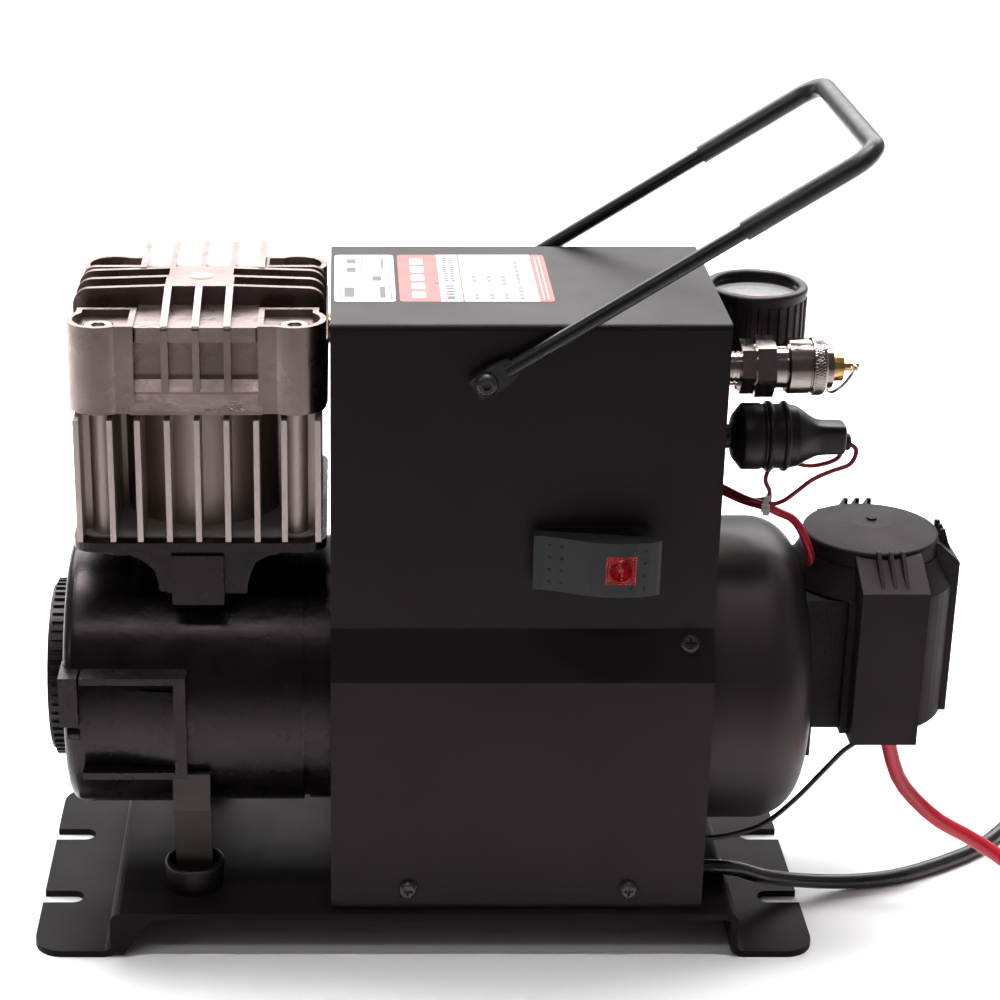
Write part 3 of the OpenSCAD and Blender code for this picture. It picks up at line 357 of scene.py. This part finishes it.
FERRITE = material(
    "ferrite", (0.05, 0.05, 0.055), 0.6, grain=(900, 0.4, 0.0002), cloud=(60, (0.08, 0.08, 0.085), 0.6),
    rough_spread=0.05,
)
FELT = material(
    "filter_felt", (0.62, 0.58, 0.50), 0.9, grain=(1200, 0.8, 0.0005), cloud=(80, (0.5, 0.46, 0.38), 0.6), sheen=0.2,
)
SEAL = material(
    "seal_fibre", (0.28, 0.26, 0.23), 0.8, grain=(1500, 0.5, 0.0001), cloud=(100, (0.2, 0.18, 0.16), 0.6),
)
NYLON = material(
    "white_nylon", (0.72, 0.68, 0.66), 0.38, grain=(900, 0.15, 0.00005), cloud=(90, (0.62, 0.57, 0.55), 0.5),
    rough_spread=0.05,
)
RED_CABLE = material(
    "red_insulation", (0.50, 0.010, 0.030), 0.34, grain=(300, 0.15, 0.0002), cloud=(40, (0.40, 0.007, 0.022), 0.6),
    rough_spread=0.06,
)
BLACK_CABLE = material(
    "black_insulation", (0.008, 0.0076, 0.008), 0.3, grain=(300, 0.15, 0.0002), cloud=(40, (0.014, 0.0135, 0.014), 0.6),
    rough_spread=0.06,
)
RED_WIRE = material(
    "red_wire_insulation", (0.22, 0.006, 0.014), 0.32, grain=(900, 0.1, 0.00005), cloud=(90, (0.15, 0.005, 0.011), 0.6),
    rough_spread=0.05,
)
STICKER_WHITE = material(
    "sticker_white", (0.74, 0.74, 0.78), 0.32, grain=(1200, 0.1, 0.00004), cloud=(60, (0.68, 0.67, 0.71), 0.6),
    rough_spread=0.05,
)
DIAL_PAPER = material(
    "dial_paper", (0.20, 0.18, 0.185), 0.5, grain=(1200, 0.1, 0.00004), cloud=(90, (0.17, 0.155, 0.16), 0.6),
)
STICKER_RED = material(
    "sticker_red", (0.66, 0.085, 0.07), 0.32, grain=(1200, 0.1, 0.00004), cloud=(60, (0.58, 0.07, 0.06), 0.6),
    rough_spread=0.05,
)
STICKER_PINK = material(
    "sticker_pink", (0.72, 0.32, 0.32), 0.34, grain=(1200, 0.1, 0.00004), cloud=(60, (0.66, 0.28, 0.28), 0.6),
)
STICKER_INK = material(
    "sticker_ink", (0.055, 0.055, 0.07), 0.36, grain=(1200, 0.1, 0.00004), cloud=(60, (0.08, 0.08, 0.10), 0.6),
)
NEEDLE_PAINT = material(
    "needle_paint", (0.55, 0.02, 0.02), 0.35, grain=(900, 0.1, 0.00004), cloud=(90, (0.45, 0.015, 0.015), 0.6),
)


# Clear plastic with a faint waviness
CLEAR = material("clear_plastic", (0.97, 0.97, 0.98), 0.04, grain=(60, 0.05, 0.00005))
clear_shader = CLEAR.node_tree.nodes["Principled BSDF"]
clear_shader.inputs["Transmission Weight"].default_value = 1.0
clear_shader.inputs["IOR"].default_value = 1.2


# ---- Supply leads ----

# Routes in millimetres, as in the CAD source
LEAD_RADIUS = 3.25
COIL_RADII = (43.5, 37.0, 30.5)
COIL_LEVELS = (3.3, 9.8)
TURN_STEPS = 24
RED_COIL, BLACK_COIL = (345, -46), (345, 48)
RED_ROUTE = [
    (195, -30, 94), (195.5, -29.5, 86), (198.5, -27, 76.5), (203.5, -25, 62), (212, -24, 50), (224, -24, 39),
    (236, -24, 32), (249, -26, 24), (262, -32, 15.5), (275, -42, 8.5), (287, -56, 4.5), (296, -70, 3.3),
    (306, -81, 3.3), (320, -88.5, 3.3), (334, -90.5, 3.3),
]
BLACK_ROUTE = [
    (92, -34, 24.4), (104, -36.5, 24.4), (116, -38, 24.4), (126, -38, 24.4), (136, -35, 21.6), (146, -30, 15.5),
    (157, -25, 10.8), (169, -21, 7.4), (182, -17.5, 4.8), (195, -14.5, 3.5), (209, -11, 3.3), (223, -5, 3.3),
    (238, 3.5, 3.3), (253, 14, 3.3), (268, 30, 3.3), (282, 50, 3.3), (294, 68, 3.3), (308, 82, 3.3), (325, 89.5, 3.3),
]
TAIL = [(14, 44, 9), (26, 43, 6.5), (38, 41, 4), (50, 37, 3.3), (60, 31, 3.3), (66, 22, 3.3)]


def coil_points(centre, side):
    """Six turns: outside to inside on the floor, then inside to outside on top.

    side is -1 where they start at the front, and 1 where they start at the back.
    """
    turns = [(radius, COIL_LEVELS[0]) for radius in COIL_RADII]
    turns += [(radius, COIL_LEVELS[1]) for radius in COIL_RADII[::-1]]
    points = []
    for index in range(len(turns) * TURN_STEPS + 1):
        turn, part = divmod(index, TURN_STEPS)
        here = turns[min(turn, len(turns) - 1)]
        after = turns[min(turn + 1, len(turns) - 1)]
        # The cable steps to the next turn over the last quarter of each turn
        share = max(0.0, (part / TURN_STEPS - 0.75) * 4)
        share = share * share * (3 - 2 * share)
        radius = here[0] + (after[0] - here[0]) * share
        level = here[1] + (after[1] - here[1]) * share
        angle = side * (math.pi / 2 - 2 * math.pi * index / TURN_STEPS)
        points.append((centre[0] + radius * math.cos(angle), centre[1] + radius * math.sin(angle), level))
    return points


def lead_path(route, centre, side):
    tail = [(centre[0] + x, centre[1] + side * y, z) for x, y, z in TAIL]
    return smooth_path(route + coil_points(centre, side) + tail, 2)


nodes = frame["nodes"]
for lead, route, centre, side, paint, exit_point in (
    ("red", RED_ROUTE, RED_COIL, -1, RED_CABLE, (0.1955, -0.0295, 0.0875)),
    ("black", BLACK_ROUTE, BLACK_COIL, 1, BLACK_CABLE, (0.1040, -0.0365, 0.0244)),
):
    path = lead_path(route, centre, side)
    length = round(path_length(path), 2)
    cable = wire(lead + "_battery_lead", path, LEAD_RADIUS * MM, paint, "frame")
    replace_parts(cable, lead + "_lead", lead + "_coil")


# ---- Finishes of the machined, moulded and painted parts ----

FINISH = {
    POWDER: "housing_cover end_panels",
    BASE_PAINT: "base_plate motor_cradle",
    STRAP_PAINT: "support_straps",
    CLEAR: "gauge_lens",
    CASTING: "crankcase crankcase_cover motor_adapter",
    CAN_PAINT: "motor_can",
    TEXTURED: "relay_housing relay_cap",
    BLACK_PLASTIC: "support_cups switch_body intake_cap pressure_switch brush_gear gauge_case",
    ROCKER_PLASTIC: "switch_paddle",
    RUBBER: "gauge_boot",
    GRIP: "handle_grip",
    ROD_PAINT: "handle_bail",
    CAST_ALUMINIUM: "cylinder_head",
    EXTRUDED_ALUMINIUM: "finned_cylinder manifold_block",
    STEEL: "head_bolts piston_rod crank_bearing crank_disc shaft_bearings rotor_shaft valve_plate discharge_reed "
    "relay_plunger",
    DARK_STEEL: "cover_screws pivot_hardware",
    NICKEL: "coupler_body coupler_sleeve",
    BRASS: "discharge_pipe relief_plug relief_stem gauge_fitting red_terminal black_terminal",
    COPPER: "armature commutator relay_coil",
    FERRITE: "field_magnets",
    FELT: "intake_filter",
    SEAL: "gaskets cup_seal",
    NEEDLE_PAINT: "gauge_needle",
}
CAD_SMOOTH = 32
for finish, names in FINISH.items():
    for name in names.split():
        data = nodes[name].data
        data.materials.clear()
        data.materials.append(finish)
        shade(data, CAD_SMOOTH)

# Rounded edges, in millimetres, that catch the light
ROUNDED = {
    0.25: "housing_cover end_panels switch_body support_straps head_bolts pivot_hardware cover_screws",
    0.35: "base_plate finned_cylinder coupler_sleeve relief_plug relief_stem",
    0.5: "coupler_body switch_paddle handle_bail gauge_boot intake_cap relay_cap support_cups",
    0.7: "cylinder_head crankcase crankcase_cover relay_housing",
}
for width, names in ROUNDED.items():
    for name in names.split():
        bevel(nodes[name], width * MM)


# ---- Signal wires ----

WIRE_A = [
    (171, -15, 211), (176, -16, 208), (174, -17, 202), (166, -18, 199), (159, -18, 195.5), (152, -17, 189),
    (148, -13, 183.8), (143, -11.5, 182), (134, -10, 184), (126, 0, 185), (118, 8, 186), (108, 9, 189),
]
WIRE_B = [
    (171, -14, 208), (169, -12, 202), (160, -9, 198), (150, -8, 199), (143, -9, 197), (141, -10, 192),
    (143, -10, 187), (142, -8, 183), (134, -4, 181), (126, 5, 182), (118, 11, 184), (108, 11.5, 186.5),
]
FEED_WIRE = [
    (108, 15, 184), (118, 14, 183), (126, 9, 180), (135, 1, 178.4), (142, -9, 179.8), (148, -9, 177), (153, -10, 174.9),
    (156.5, -12, 171.1), (159.2, -13, 165.4), (161.5, -13, 159.5), (162.5, -13, 152),
]
GROUND_WIRE = [
    (183, -34, 93), (183, -34, 84), (177, -34, 78), (169, -34, 68), (158, -36, 56), (146, -38, 46), (134, -40, 42),
    (122, -42, 41), (112, -44, 42), (100, -46, 44),
]
for name, route, radius, paint, slot in (
    ("signal_wire_a", WIRE_A, 0.95, RED_WIRE, "red_insulation"),
    ("signal_wire_b", WIRE_B, 0.95, RED_WIRE, "red_insulation"),
    ("relay_feed_wire", FEED_WIRE, 1.8, RED_CABLE, "red_insulation"),
    ("relay_ground_wire", GROUND_WIRE, 1.1, BLACK_CABLE, "black_insulation"),
):
    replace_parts(wire(name, smooth_path(route, 8), radius * MM, paint, "frame"), "signal_wires")


TIE_AT, TIE_TURN = (142.5, -9.8, 181), -20


def tie_mesh():
    """A thin band with round corners round the wires, its locking head and the cut end."""
    steps, half_y, half_z, thick = 48, 4.1, 4.3, 0.6
    bm = bmesh.new()
    rings = []
    for x, grow in ((-1.1, 0), (1.1, 0), (1.1, -thick), (-1.1, -thick)):
        ring = []
        for k in range(steps):
            c, s = math.cos(2 * math.pi * k / steps), math.sin(2 * math.pi * k / steps)
            y = math.copysign(abs(c) ** 0.6, c) * (half_y + grow)
            z = math.copysign(abs(s) ** 0.6, s) * (half_z + grow)
            ring.append(bm.verts.new(mm(x, y, z)))
        rings.append(ring)
    for low, high in zip(rings, rings[1:] + rings[:1]):
        for k in range(steps):
            bm.faces.new([low[k - 1], low[k], high[k], high[k - 1]])
    head = box_mesh((-1.6, -5.1, -1.8), (1.6, -3.4, 1.6))
    end = box_mesh((-1.0, -6.6, -0.5), (1.0, -5.0, 0.3))
    whole = join([bm, head, end])
    whole.transform(Matrix.Translation(mm(*TIE_AT)) @ Matrix.Rotation(math.radians(TIE_TURN), 4, "Z"))
    return whole


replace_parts(add("wire_tie", tie_mesh(), NYLON, "frame", 40), "cable_tie")


# ---- Rocker: raised dots and the prismatic lens ----

SWITCH_X, SWITCH_Z, BEZEL_Y = 66.3, 177.8, -56.5
PADDLE_FRONT = [
    (-25, 6.6), (-21, 6.9), (-15, 8.6), (-9, 11), (-3, 13.2), (3, 14.6), (9, 15), (15, 14.6), (20, 13.6), (23.5, 12.4),
]


def paddle_height(x):
    """Height of the paddle's front above the bezel at a distance along it."""
    for (x0, h0), (x1, h1) in zip(PADDLE_FRONT, PADDLE_FRONT[1:]):
        if x0 <= x <= x1:
            return h0 + (h1 - h0) * (x - x0) / (x1 - x0)
    return PADDLE_FRONT[-1][1]


def dot_mesh(x, z):
    """A low dome on the paddle's front, which looks along -Y."""
    radius, height, sunk = 0.8, 0.55, 0.15
    profile = [(radius, -sunk)]
    for degrees in (0, 20, 40, 60, 80):
        a = math.radians(degrees)
        profile.append((radius * math.cos(a), height * math.sin(a)))
    profile.append((0, height))
    return lathe(profile, 16, (SWITCH_X + x, BEZEL_Y - paddle_height(x), SWITCH_Z + z), "-Y")


DOT_ROWS = (-7.8, -2.6, 2.6, 7.8)
dots = [(x, z) for x in (-18.7, -14.1, 18.6) for z in DOT_ROWS] + [(13.6, DOT_ROWS[0]), (13.6, DOT_ROWS[-1])]
add("rocker_dots", join([dot_mesh(x, z) for x, z in dots]), ROCKER_PLASTIC, "paddle", 50)


def lens_mesh(centre, half, ring):
    """A square lens: a plate, small pyramids over its corners and rings of prisms in the middle."""
    x0, y0, z0 = centre
    parts = [box_mesh((x0 - half, y0, z0 - half), (x0 + half, y0 + 2, z0 + half))]
    pitch = 1.0
    count = round(2 * half / pitch)
    for i in range(count):
        for k in range(count):
            x, z = x0 - half + (i + 0.5) * pitch, z0 - half + (k + 0.5) * pitch
            if math.hypot(x - x0, z - z0) > ring:
                parts.append(lathe([(0.62, 0), (0, 0.42)], 4, (x, y0, z), "-Y", math.pi / 4))
    # Saw-tooth rings, the last one taller
    teeth, valley = 5, 0.1
    saw = [(0, valley)]
    for k in range(teeth):
        inner = 1.0 + k * (ring - 1.0) / teeth
        saw += [(inner, valley), (inner + 0.3, 0.5 if k < teeth - 1 else 0.8)]
    parts.append(lathe(saw + [(ring + 0.1, 0)], 40, (x0, y0, z0), "-Y"))
    return join(parts)


lens_parts = lens_mesh((SWITCH_X + 9, -71.3, SWITCH_Z), half=6, ring=4.6)
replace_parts(add("rocker_lens", lens_parts, LENS_PLASTIC, "paddle", 25), "switch_lens")


# ---- Labels on the top of the cover, with plain shapes and no wording ----

# Top of the cover, thickness of a sticker and height of each layer of print above it
LABEL_Z, STICKER_T, PRINT_T = 274.0, 0.1, 0.03


def patch(parts, outline, level):
    """A flat patch with the outline in millimetres, level layers above the sticker's face."""
    bm = bmesh.new()
    low = [bm.verts.new(Vector((x, y, LABEL_Z)) * MM) for x, y in outline]
    high = [bm.verts.new(Vector((x, y, LABEL_Z + STICKER_T + PRINT_T * level)) * MM) for x, y in outline]
    bm.faces.new(high)
    for k in range(len(outline)):
        bm.faces.new([low[k - 1], low[k], high[k], high[k - 1]])
    parts.append(bm)


def rounded(x0, y0, x1, y1, radius):
    """Outline of a box with round corners."""
    corners = [
        (x1 - radius, y1 - radius, 0), (x0 + radius, y1 - radius, 90),
        (x0 + radius, y0 + radius, 180), (x1 - radius, y0 + radius, 270),
    ]
    return [
        (x + radius * math.cos(math.radians(start + a)), y + radius * math.sin(math.radians(start + a)))
        for x, y, start in corners
        for a in (0, 30, 60, 90)
    ]


def sharp(x0, y0, x1, y1):
    """Outline of a box with sharp corners."""
    return [(x0, y0), (x1, y0), (x1, y1), (x0, y1)]


def frame_lines(parts, x0, y0, x1, y1, width, level):
    """Four lines round a box."""
    patch(parts, sharp(x0, y0, x1, y0 + width), level)
    patch(parts, sharp(x0, y1 - width, x1, y1), level)
    patch(parts, sharp(x0, y0, x0 + width, y1), level)
    patch(parts, sharp(x1 - width, y0, x1, y1), level)


Y0, Y1 = -25.5, 39.8
white, red, pink, ink = [], [], [], []
# Left sticker: a large and four small boxes, each with plain blocks
LX = -37.5
patch(white, rounded(LX, Y0, -13, Y1, 2), 0)
frame_lines(ink, LX + 2.1, Y0 + 2.9, LX + 23, Y0 + 23.3, 0.5, 1)
for u, v in ((2.1, 25.7), (2.1, 38), (2.1, 50.3), (12.6, 25.7)):
    frame_lines(ink, LX + u, Y0 + v, LX + u + 9.4, Y0 + v + 11, 0.45, 1)
patch(ink, sharp(LX + 4, Y0 + 6, LX + 8, Y0 + 19), 1)
patch(pink, rounded(LX + 10.2, Y0 + 6, LX + 17.2, Y0 + 17, 1.2), 1)
patch(ink, sharp(LX + 18.3, Y0 + 5, LX + 20.6, Y0 + 20), 1)
patch(pink, sharp(LX + 5, Y0 + 28, LX + 8.8, Y0 + 34.5), 1)
patch(ink, sharp(LX + 5, Y0 + 40.3, LX + 8.8, Y0 + 46.8), 1)
patch(ink, sharp(LX + 5, Y0 + 52.6, LX + 8.8, Y0 + 59), 1)
patch(ink, sharp(LX + 15.4, Y0 + 28, LX + 19.2, Y0 + 34.5), 1)
patch(ink, sharp(LX + 19.2, Y0 + 46, LX + 20.2, Y0 + 60), 1)
# Right sticker: red ends, a thin red line and grey bars that run along Y
RX = -11.4
patch(red, rounded(RX, Y0, 50, Y1, 2), 0)
patch(white, [(5, Y0), (44, Y0), (44, Y1), (5, Y1)], 1)
patch(red, sharp(13.6, Y0, 14.3, Y1), 2)
for k in range(5):
    patch(white, rounded(RX + 5, Y0 + 5 + 11.5 * k, RX + 10.5, Y0 + 13.5 + 11.5 * k, 1.2), 2)
patch(ink, sharp(7.4, Y0 + 3, 10.6, Y0 + 7), 2)
for k in range(4):
    patch(ink, sharp(7.4, Y0 + 8.6 + 3.6 * k, 10.6, Y0 + 11 + 3.6 * k), 2)
for x in (7.2, 10):
    for k in range(11):
        patch(ink, sharp(x, Y0 + 27.5 + 3.1 * k, x + 1.5, Y0 + 29.7 + 3.1 * k), 2)
# Four rows of small bars, each in two groups: x, then where each group starts and how long it is
BAR, BAR_PITCH = 1.3, 1.9
for x, groups in (
    (18.5, ((3, 8), (24, 14))), (24.5, ((3, 8), (24, 11))), (30.5, ((3, 10), (22, 13))), (36.5, ((3, 18), (25, 32))),
):
    for start, length in groups:
        step = 0.0
        while step < length - 1.4:
            patch(ink, sharp(x, Y0 + start + step, x + 1.7, Y0 + start + step + BAR), 2)
            step += BAR_PITCH
for x in (45.8, 47.6):
    patch(white, sharp(x, Y0 + 3, x + 0.35, Y1 - 3), 2)
for name, parts, paint in (
    ("label_white", white, STICKER_WHITE), ("label_red", red, STICKER_RED), ("label_pink", pink, STICKER_PINK),
    ("label_ink", ink, STICKER_INK),
):
    add(name, join(parts), paint, "frame")


# ---- Gauge: dial face, ticks and numbers ----

GAUGE_X, GAUGE_Y, DIAL_Z = 137.0, 20.0, 259.0
DIAL_HOLE, DIAL_RADIUS, DIAL_T = 1.4, 17.7, 0.15
# The scale runs clockwise over 270 degrees, with six numbered steps of five ticks
SCALE_START, SCALE_SWEEP, NUMBER_STEPS, TICKS_PER_NUMBER = 225, 270, 6, 5
NUMBER_RADIUS, NUMBER_STEP = 10.6, 25

dial_section = [
    (DIAL_HOLE, DIAL_Z), (DIAL_RADIUS, DIAL_Z), (DIAL_RADIUS, DIAL_Z + DIAL_T), (DIAL_HOLE, DIAL_Z + DIAL_T),
    (DIAL_HOLE, DIAL_Z),
]
add("dial_face", lathe(dial_section, 64, (GAUGE_X, GAUGE_Y, 0)), DIAL_PAPER, "frame", 30)
ticks = []
tick_count = NUMBER_STEPS * TICKS_PER_NUMBER
for k in range(tick_count + 1):
    angle = math.radians(SCALE_START - SCALE_SWEEP / tick_count * k)
    numbered = k % TICKS_PER_NUMBER == 0
    inner, outer, half = (13.0, 16.4, 0.28) if numbered else (14.6, 16.4, 0.13)
    tick = box_mesh((inner, -half, DIAL_Z + 0.1), (outer, half, DIAL_Z + 0.2))
    tick.transform(Matrix.Translation(mm(GAUGE_X, GAUGE_Y, 0)) @ Matrix.Rotation(angle, 4, "Z"))
    ticks.append(tick)
add("dial_ticks", join(ticks), STICKER_INK, "frame")
for k in range(NUMBER_STEPS + 1):
    angle = math.radians(SCALE_START - SCALE_SWEEP / NUMBER_STEPS * k)
    data = bpy.data.curves.new("dial_number_%d" % k, "FONT")
    data.body = str(NUMBER_STEP * k)
    data.size = 3.0 * MM
    data.extrude = 0.03 * MM
    data.align_x = data.align_y = "CENTER"
    data.materials.append(STICKER_INK)
    number = bpy.data.objects.new(data.name, data)
    number.location = mm(
        GAUGE_X + NUMBER_RADIUS * math.cos(angle), GAUGE_Y + NUMBER_RADIUS * math.sin(angle), DIAL_Z + 0.18
    )
    scene.collection.objects.link(number)
    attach(number, "frame")


# ---- Coupler: knurled ring and wound pull ring ----

PORT_Y, PORT_Z = -15.0, 243.6


def knurl_mesh(x0, x1, radius, depth, count):
    """A band round the port's axis with slanting teeth, flat at both ends."""
    bm = bmesh.new()
    rows, per_tooth, slant = 7, 4, 2.5
    steps = count * per_tooth
    rings = []
    for row in range(rows):
        share = row / (rows - 1)
        ring = []
        for k in range(steps):
            phase = (k / per_tooth + share * slant) % 1.0
            r = radius + depth * (1 - abs(2 * phase - 1)) * (0 < row < rows - 1)
            angle = 2 * math.pi * k / steps
            y, z = PORT_Y + r * math.cos(angle), PORT_Z + r * math.sin(angle)
            ring.append(bm.verts.new(mm(x0 + (x1 - x0) * share, y, z)))
        rings.append(ring)
    for low, high in zip(rings, rings[1:]):
        for k in range(steps):
            bm.faces.new([low[k - 1], low[k], high[k], high[k - 1]])
    return bm


add("coupler_knurl", knurl_mesh(154.9, 159.3, 11.55, 0.4, 64), NICKEL, "sleeve", 20)

# The ring lies in the plane of its own Y and Z, with its two turns side by side, and leans out about Y
RING_AT, RING_LEAN, RING_RADIUS, RING_WIRE = (172.3, -15.0, 243.6), math.radians(42), 7.2, 0.42
RING_STEPS = 48
ring_points = []
for k in range(2 * RING_STEPS + 1):
    angle = 2 * math.pi * k / RING_STEPS + 0.4
    local = Vector((
        0.5 - k / (2 * RING_STEPS), RING_RADIUS * math.sin(angle), RING_RADIUS * math.cos(angle) - RING_RADIUS,
    ))
    local.rotate(Matrix.Rotation(RING_LEAN, 4, "Y").to_euler())
    ring_points.append(mm(*RING_AT) + local * MM)
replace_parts(wire("split_ring", ring_points, RING_WIRE * MM, NICKEL, "ring"), "pull_ring")


# ---- Pressure switch: moulded boot that runs from round to square ----

SWITCH_AXIS_Z = 213.4


def loft(sections, steps):
    """A bmesh through sections (x, half width, half height, centre height, exponent) about the switch's axis."""
    bm = bmesh.new()
    rings = []
    for x, wide, high, centre, power in sections:
        ring = []
        for k in range(steps):
            c, s = math.cos(2 * math.pi * k / steps), math.sin(2 * math.pi * k / steps)
            y = math.copysign(abs(c) ** (2 / power), c) * wide
            z = math.copysign(abs(s) ** (2 / power), s) * high
            ring.append(bm.verts.new(mm(x, PORT_Y + y, SWITCH_AXIS_Z + centre + z)))
        rings.append(ring)
    for low, high in zip(rings, rings[1:]):
        for k in range(steps):
            bm.faces.new([low[k - 1], low[k], high[k], high[k - 1]])
    bm.faces.new(rings[0][::-1])
    bm.faces.new(rings[-1])
    return bm


def boot_profile():
    """Round part of the switch as (radius, x), with two beads."""
    outline = [
        (0, 112), (5, 112), (5, 124), (8, 124.6), (9, 125), (13.4, 128.4), (13.7, 129), (13.7, 136), (13.2, 136.6),
        (13.0, 137), (13.4, 137.4),
    ]
    for centre in (139.5, 146.0):
        outline.append((13.4, centre - 1.6))
        for degrees in range(0, 181, 30):
            a = math.radians(degrees)
            outline.append((13.4 + 1.2 * math.sin(a), centre - 1.3 * math.cos(a)))
        outline.append((13.3, centre + 1.6))
    return outline + [(12.9, 149), (12.6, 151), (0, 151)]


round_part = lathe(boot_profile(), 64, (0, 0, 0), "X")
round_part.transform(Matrix.Translation(mm(0, PORT_Y, SWITCH_AXIS_Z)))
# Sections of the square end
square_part = loft(
    [
        (150.6, 12.6, 12.6, 0, 2), (152, 12.0, 12.0, 0, 2), (154, 10.6, 10.6, -0.1, 2.1), (156, 9.2, 9.2, -0.3, 2.3),
        (158, 7.9, 7.9, -0.4, 2.7), (159.6, 6.9, 7.0, -0.5, 3.4), (161, 6.3, 6.6, -0.5, 4.5), (163, 6.1, 6.4, -0.5, 5),
        (169.5, 6.0, 6.3, -0.5, 5), (170.6, 5.6, 5.9, -0.5, 5), (171, 5.0, 5.3, -0.5, 5),
    ],
    48,
)
stem = lathe([(3.6, 170.5), (3.6, 172.6), (3.2, 173.4), (0, 173.4)], 24, (0, 0, 0), "X")
stem.transform(Matrix.Translation(mm(0, PORT_Y, SWITCH_AXIS_Z - 2.5)))
boot_parts = join([round_part, square_part, stem])
boot = add("pressure_switch_boot", boot_parts, BLACK_PLASTIC, "frame", 50)
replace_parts(boot, "pressure_switch")


# ---- Grommet where the red lead leaves the relay ----

GROMMET_AT = (195.4, -29.6, 0)
grommet_section = [(3.3, 83.6), (4.6, 83.6), (5.1, 84.2), (5.1, 87.0), (4.6, 87.6), (3.3, 87.6)]
add("relay_grommet", lathe(grommet_section, 32, GROMMET_AT), RUBBER, "frame", 40)


# ---- Floor, light and world ----

FLOOR_HALF = 6
floor_mesh = bpy.data.meshes.new("floor")
bm = bmesh.new()
bmesh.ops.create_grid(bm, x_segments=1, y_segments=1, size=FLOOR_HALF)
bm.to_mesh(floor_mesh)
bm.free()
floor = bpy.data.objects.new("floor", floor_mesh)
scene.collection.objects.link(floor)
floor_mesh.materials.append(material("pale_floor", (0.86, 0.86, 0.865), 0.7, cloud=(3, (0.83, 0.83, 0.835), 0.5)))

world = bpy.data.worlds.new("world")
scene.world = world
world.use_nodes = True


def light_room(tree):
    """A pale room that is bright towards the back and dim towards the front, all fixed in the room."""
    nodes, links = tree.nodes, tree.links
    coordinates = nodes.new("ShaderNodeTexCoord")
    parts = nodes.new("ShaderNodeSeparateXYZ")
    links.new(coordinates.outputs["Generated"], parts.inputs["Vector"])
    span = nodes.new("ShaderNodeMapRange")
    span.inputs["From Min"].default_value = -1
    span.inputs["From Max"].default_value = 1
    links.new(parts.outputs["Y"], span.inputs["Value"])
    ramp = nodes.new("ShaderNodeValToRGB")
    stops = [
        (0.0, (0.10, 0.084, 0.084)), (0.42, (0.11, 0.094, 0.093)),
        (0.62, (0.34, 0.31, 0.315)), (0.85, (0.42, 0.395, 0.40)),
    ]
    while len(ramp.color_ramp.elements) < len(stops):
        ramp.color_ramp.elements.new(0.5)
    for element, (at, value) in zip(ramp.color_ramp.elements, stops):
        element.position = at
        element.color = (*value, 1)
    links.new(span.outputs["Result"], ramp.inputs["Fac"])
    links.new(ramp.outputs["Color"], nodes["Background"].inputs["Color"])
    nodes["Background"].inputs["Strength"].default_value = 1.0


light_room(world.node_tree)


# Name, place and aim in metres, size in metres, power in watts, spread in degrees
LAMPS = (
    ("back_wall", (0, 1.35, 1.26), (0, 0, 1.26), (2.8, 1.2), 27, 180),
    ("top", (0, 0.5, 1.9), (0, 0.5, 0), (2.4, 0.7), 20, 55),
    ("back_floor", (0, 2.4, 1.9), (0, 2.2, 0), (4.5, 2.2), 110, 180),
    ("strip", (-0.15, -0.72, 1.25), (-0.05, 0, 0.15), (0.8, 0.09), 1.9, 180),
    ("near_floor", (0, -0.2, 1.0), (0, -0.2, 0), (0.9, 0.06), 0.55, 25),
    ("key", (-1.3, -0.8, 1.2), (-0.08, 0, 0.15), (0.2, 1.0), 2.0, 180),
    ("fill", (1.6, -0.5, 0.9), (0.05, 0, 0.12), (0.4, 1.2), 0.9, 180),
)
for name, spot, aim, (width, depth), power, spread in LAMPS:
    data = bpy.data.lights.new(name, "AREA")
    data.shape = "RECTANGLE"
    data.size, data.size_y = width, depth
    data.energy = power
    data.spread = math.radians(spread)
    lamp = bpy.data.objects.new(name, data)
    lamp.location = spot
    lamp.rotation_euler = (Vector(aim) - Vector(spot)).to_track_quat("-Z", "Y").to_euler()
    scene.collection.objects.link(lamp)
scene.view_settings.view_transform = "Standard"
